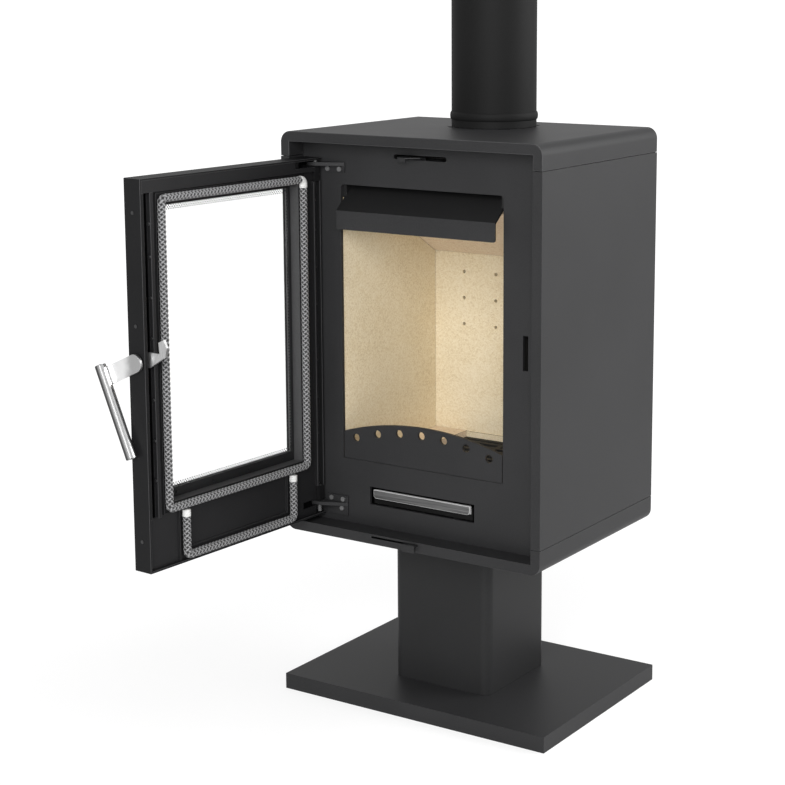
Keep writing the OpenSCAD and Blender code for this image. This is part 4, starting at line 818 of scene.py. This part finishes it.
def add_camera():
    """A camera at the photograph's viewing angle: focal length = pixels * sensor / image."""
    data = bpy.data.cameras.new("camera")
    data.sensor_width = SENSOR
    data.lens = CAMERA_FOCAL_PIXELS * SENSOR / IMAGE
    data.shift_x = (IMAGE / 2 - CAMERA_CENTRE[0]) / IMAGE
    data.shift_y = (CAMERA_CENTRE[1] - IMAGE / 2) / IMAGE
    data.clip_start = 0.05
    data.clip_end = 60.0
    camera = bpy.data.objects.new("camera", data)
    azimuth = math.radians(CAMERA_AZIMUTH)
    drop = math.radians(CAMERA_DROP)
    turn = Matrix.Rotation(azimuth, 4, "Z") @ Matrix.Rotation(math.pi / 2 - drop, 4, "X")
    turn = turn @ Matrix.Rotation(math.radians(CAMERA_ROLL), 4, "Z")
    camera.matrix_world = Matrix.Translation(CAMERA_PLACE) @ turn
    bpy.context.scene.collection.objects.link(camera)
    bpy.context.scene.camera = camera


def add_lamp(name, place, target, size, power):
    """A soft rectangular lamp at place that faces target."""
    data = bpy.data.lights.new(name, "AREA")
    data.shape = "RECTANGLE"
    data.size, data.size_y = size
    data.energy = power
    lamp = bpy.data.objects.new(name, data)
    place = np.array(place, float)
    aim = np.array(target, float) - place
    aim /= np.linalg.norm(aim)
    side = np.cross(aim, (0.0, 0.0, 1.0))
    if np.linalg.norm(side) < 1e-6:
        side = np.array((1.0, 0.0, 0.0))
    side /= np.linalg.norm(side)
    up = np.cross(side, aim)
    turn = Matrix([list(row) for row in np.array([side, up, -aim]).T]).to_4x4()
    lamp.matrix_world = Matrix.Translation(place) @ turn
    bpy.context.scene.collection.objects.link(lamp)


# Grey of the light from all around
SOFT_GREY = 0.5
# Strength of the white that the camera sees, and how much of it glossy surfaces mirror
SEEN_WHITE = 1.15
MIRRORED_SHARE = 0.35


def white_where_seen(add, link, fac_socket):
    """Links 1 to fac_socket for camera and transmission rays, and a share for glossy ones."""
    path = add("ShaderNodeLightPath")
    total = add("ShaderNodeMath", operation="MAXIMUM")
    both = add("ShaderNodeMath", operation="MAXIMUM")
    link(path.outputs["Is Camera Ray"], both.inputs[0])
    link(path.outputs["Is Transmission Ray"], both.inputs[1])
    link(both.outputs[0], total.inputs[0])
    mirrored = add("ShaderNodeMath", operation="MULTIPLY")
    mirrored.inputs[1].default_value = MIRRORED_SHARE
    link(path.outputs["Is Glossy Ray"], mirrored.inputs[0])
    link(mirrored.outputs[0], total.inputs[1])
    link(total.outputs[0], fac_socket)


def add_world(level):
    """White where it is seen, and a plain soft grey light on everything else."""
    world = bpy.data.worlds.new("studio")
    bpy.context.scene.world = world
    world.use_nodes = True
    tree = world.node_tree
    tree.nodes.clear()
    output = tree.nodes.new("ShaderNodeOutputWorld")

    add, link = node_tools(tree)
    seen = add("ShaderNodeBackground")
    seen.inputs["Color"].default_value = (1.0, 1.0, 1.0, 1.0)
    seen.inputs["Strength"].default_value = SEEN_WHITE
    soft = add("ShaderNodeBackground")
    soft.inputs["Color"].default_value = (level, level, level, 1.0)
    mix = add("ShaderNodeMixShader")
    white_where_seen(add, link, mix.inputs["Fac"])
    link(soft.outputs[0], mix.inputs[1])
    link(seen.outputs[0], mix.inputs[2])
    link(mix.outputs[0], output.inputs["Surface"])


# Radii between which the floor's soft shadow fades to white, and white's share inside them
SHADOW_INNER, SHADOW_OUTER, SHADOW_WHITE = 0.45, 1.5, 0.62


def add_floor(radius=3.2, corners=48):
    """A pale round floor: it keeps a soft shadow near the stove and fades to white."""
    angles = np.arange(corners) * 2 * math.pi / corners
    points = [(radius * math.cos(a), radius * math.sin(a), 0.0) for a in angles]
    mesh = bpy.data.meshes.new("floor")
    mesh.from_pydata(points, [], [list(range(corners))])
    floor = bpy.data.objects.new("floor", mesh)
    bpy.context.scene.collection.objects.link(floor)
    material, output, add, link = new_material("floor")
    place = object_coordinates(add)
    length = add("ShaderNodeVectorMath", operation="LENGTH")
    link(place, length.inputs[0])
    fade = add("ShaderNodeMapRange")
    fade.interpolation_type = "SMOOTHSTEP"
    fade.inputs["From Min"].default_value = SHADOW_INNER
    fade.inputs["From Max"].default_value = SHADOW_OUTER
    fade.inputs["To Min"].default_value = SHADOW_WHITE
    fade.inputs["To Max"].default_value = 1.0
    link(length.outputs["Value"], fade.inputs["Value"])
    matt = add("ShaderNodeBsdfDiffuse")
    matt.inputs["Color"].default_value = (0.9, 0.9, 0.9, 1.0)
    white = add("ShaderNodeEmission")
    white.inputs["Strength"].default_value = SEEN_WHITE
    seen = add("ShaderNodeMath", operation="MULTIPLY")
    link(fade.outputs["Result"], seen.inputs[0])
    white_where_seen(add, link, seen.inputs[1])
    mix = add("ShaderNodeMixShader")
    link(seen.outputs[0], mix.inputs["Fac"])
    link(matt.outputs[0], mix.inputs[1])
    link(white.outputs[0], mix.inputs[2])
    link(mix.outputs[0], output.inputs["Surface"])
    floor.data.materials.append(material)


bpy.context.scene.view_settings.view_transform = "Standard"
add_camera()
add_world(SOFT_GREY)
add_floor()
# Each lamp: name, place, what it faces, width and height in metres, and power in watts
for lamp in (
    ("key_lamp", (2.0, 1.3, 1.5), (0.0, 0.0, 0.6), (1.8, 1.8), 50.0),
    ("front_lamp", (1.3, -3.0, 1.7), (0.0, 0.0, 0.7), (1.8, 1.8), 96.0),
    ("top_lamp", (0.2, 1.0, 3.2), (0.0, 0.0, 0.6), (2.6, 2.0), 4.0),
):
    add_lamp(*lamp)
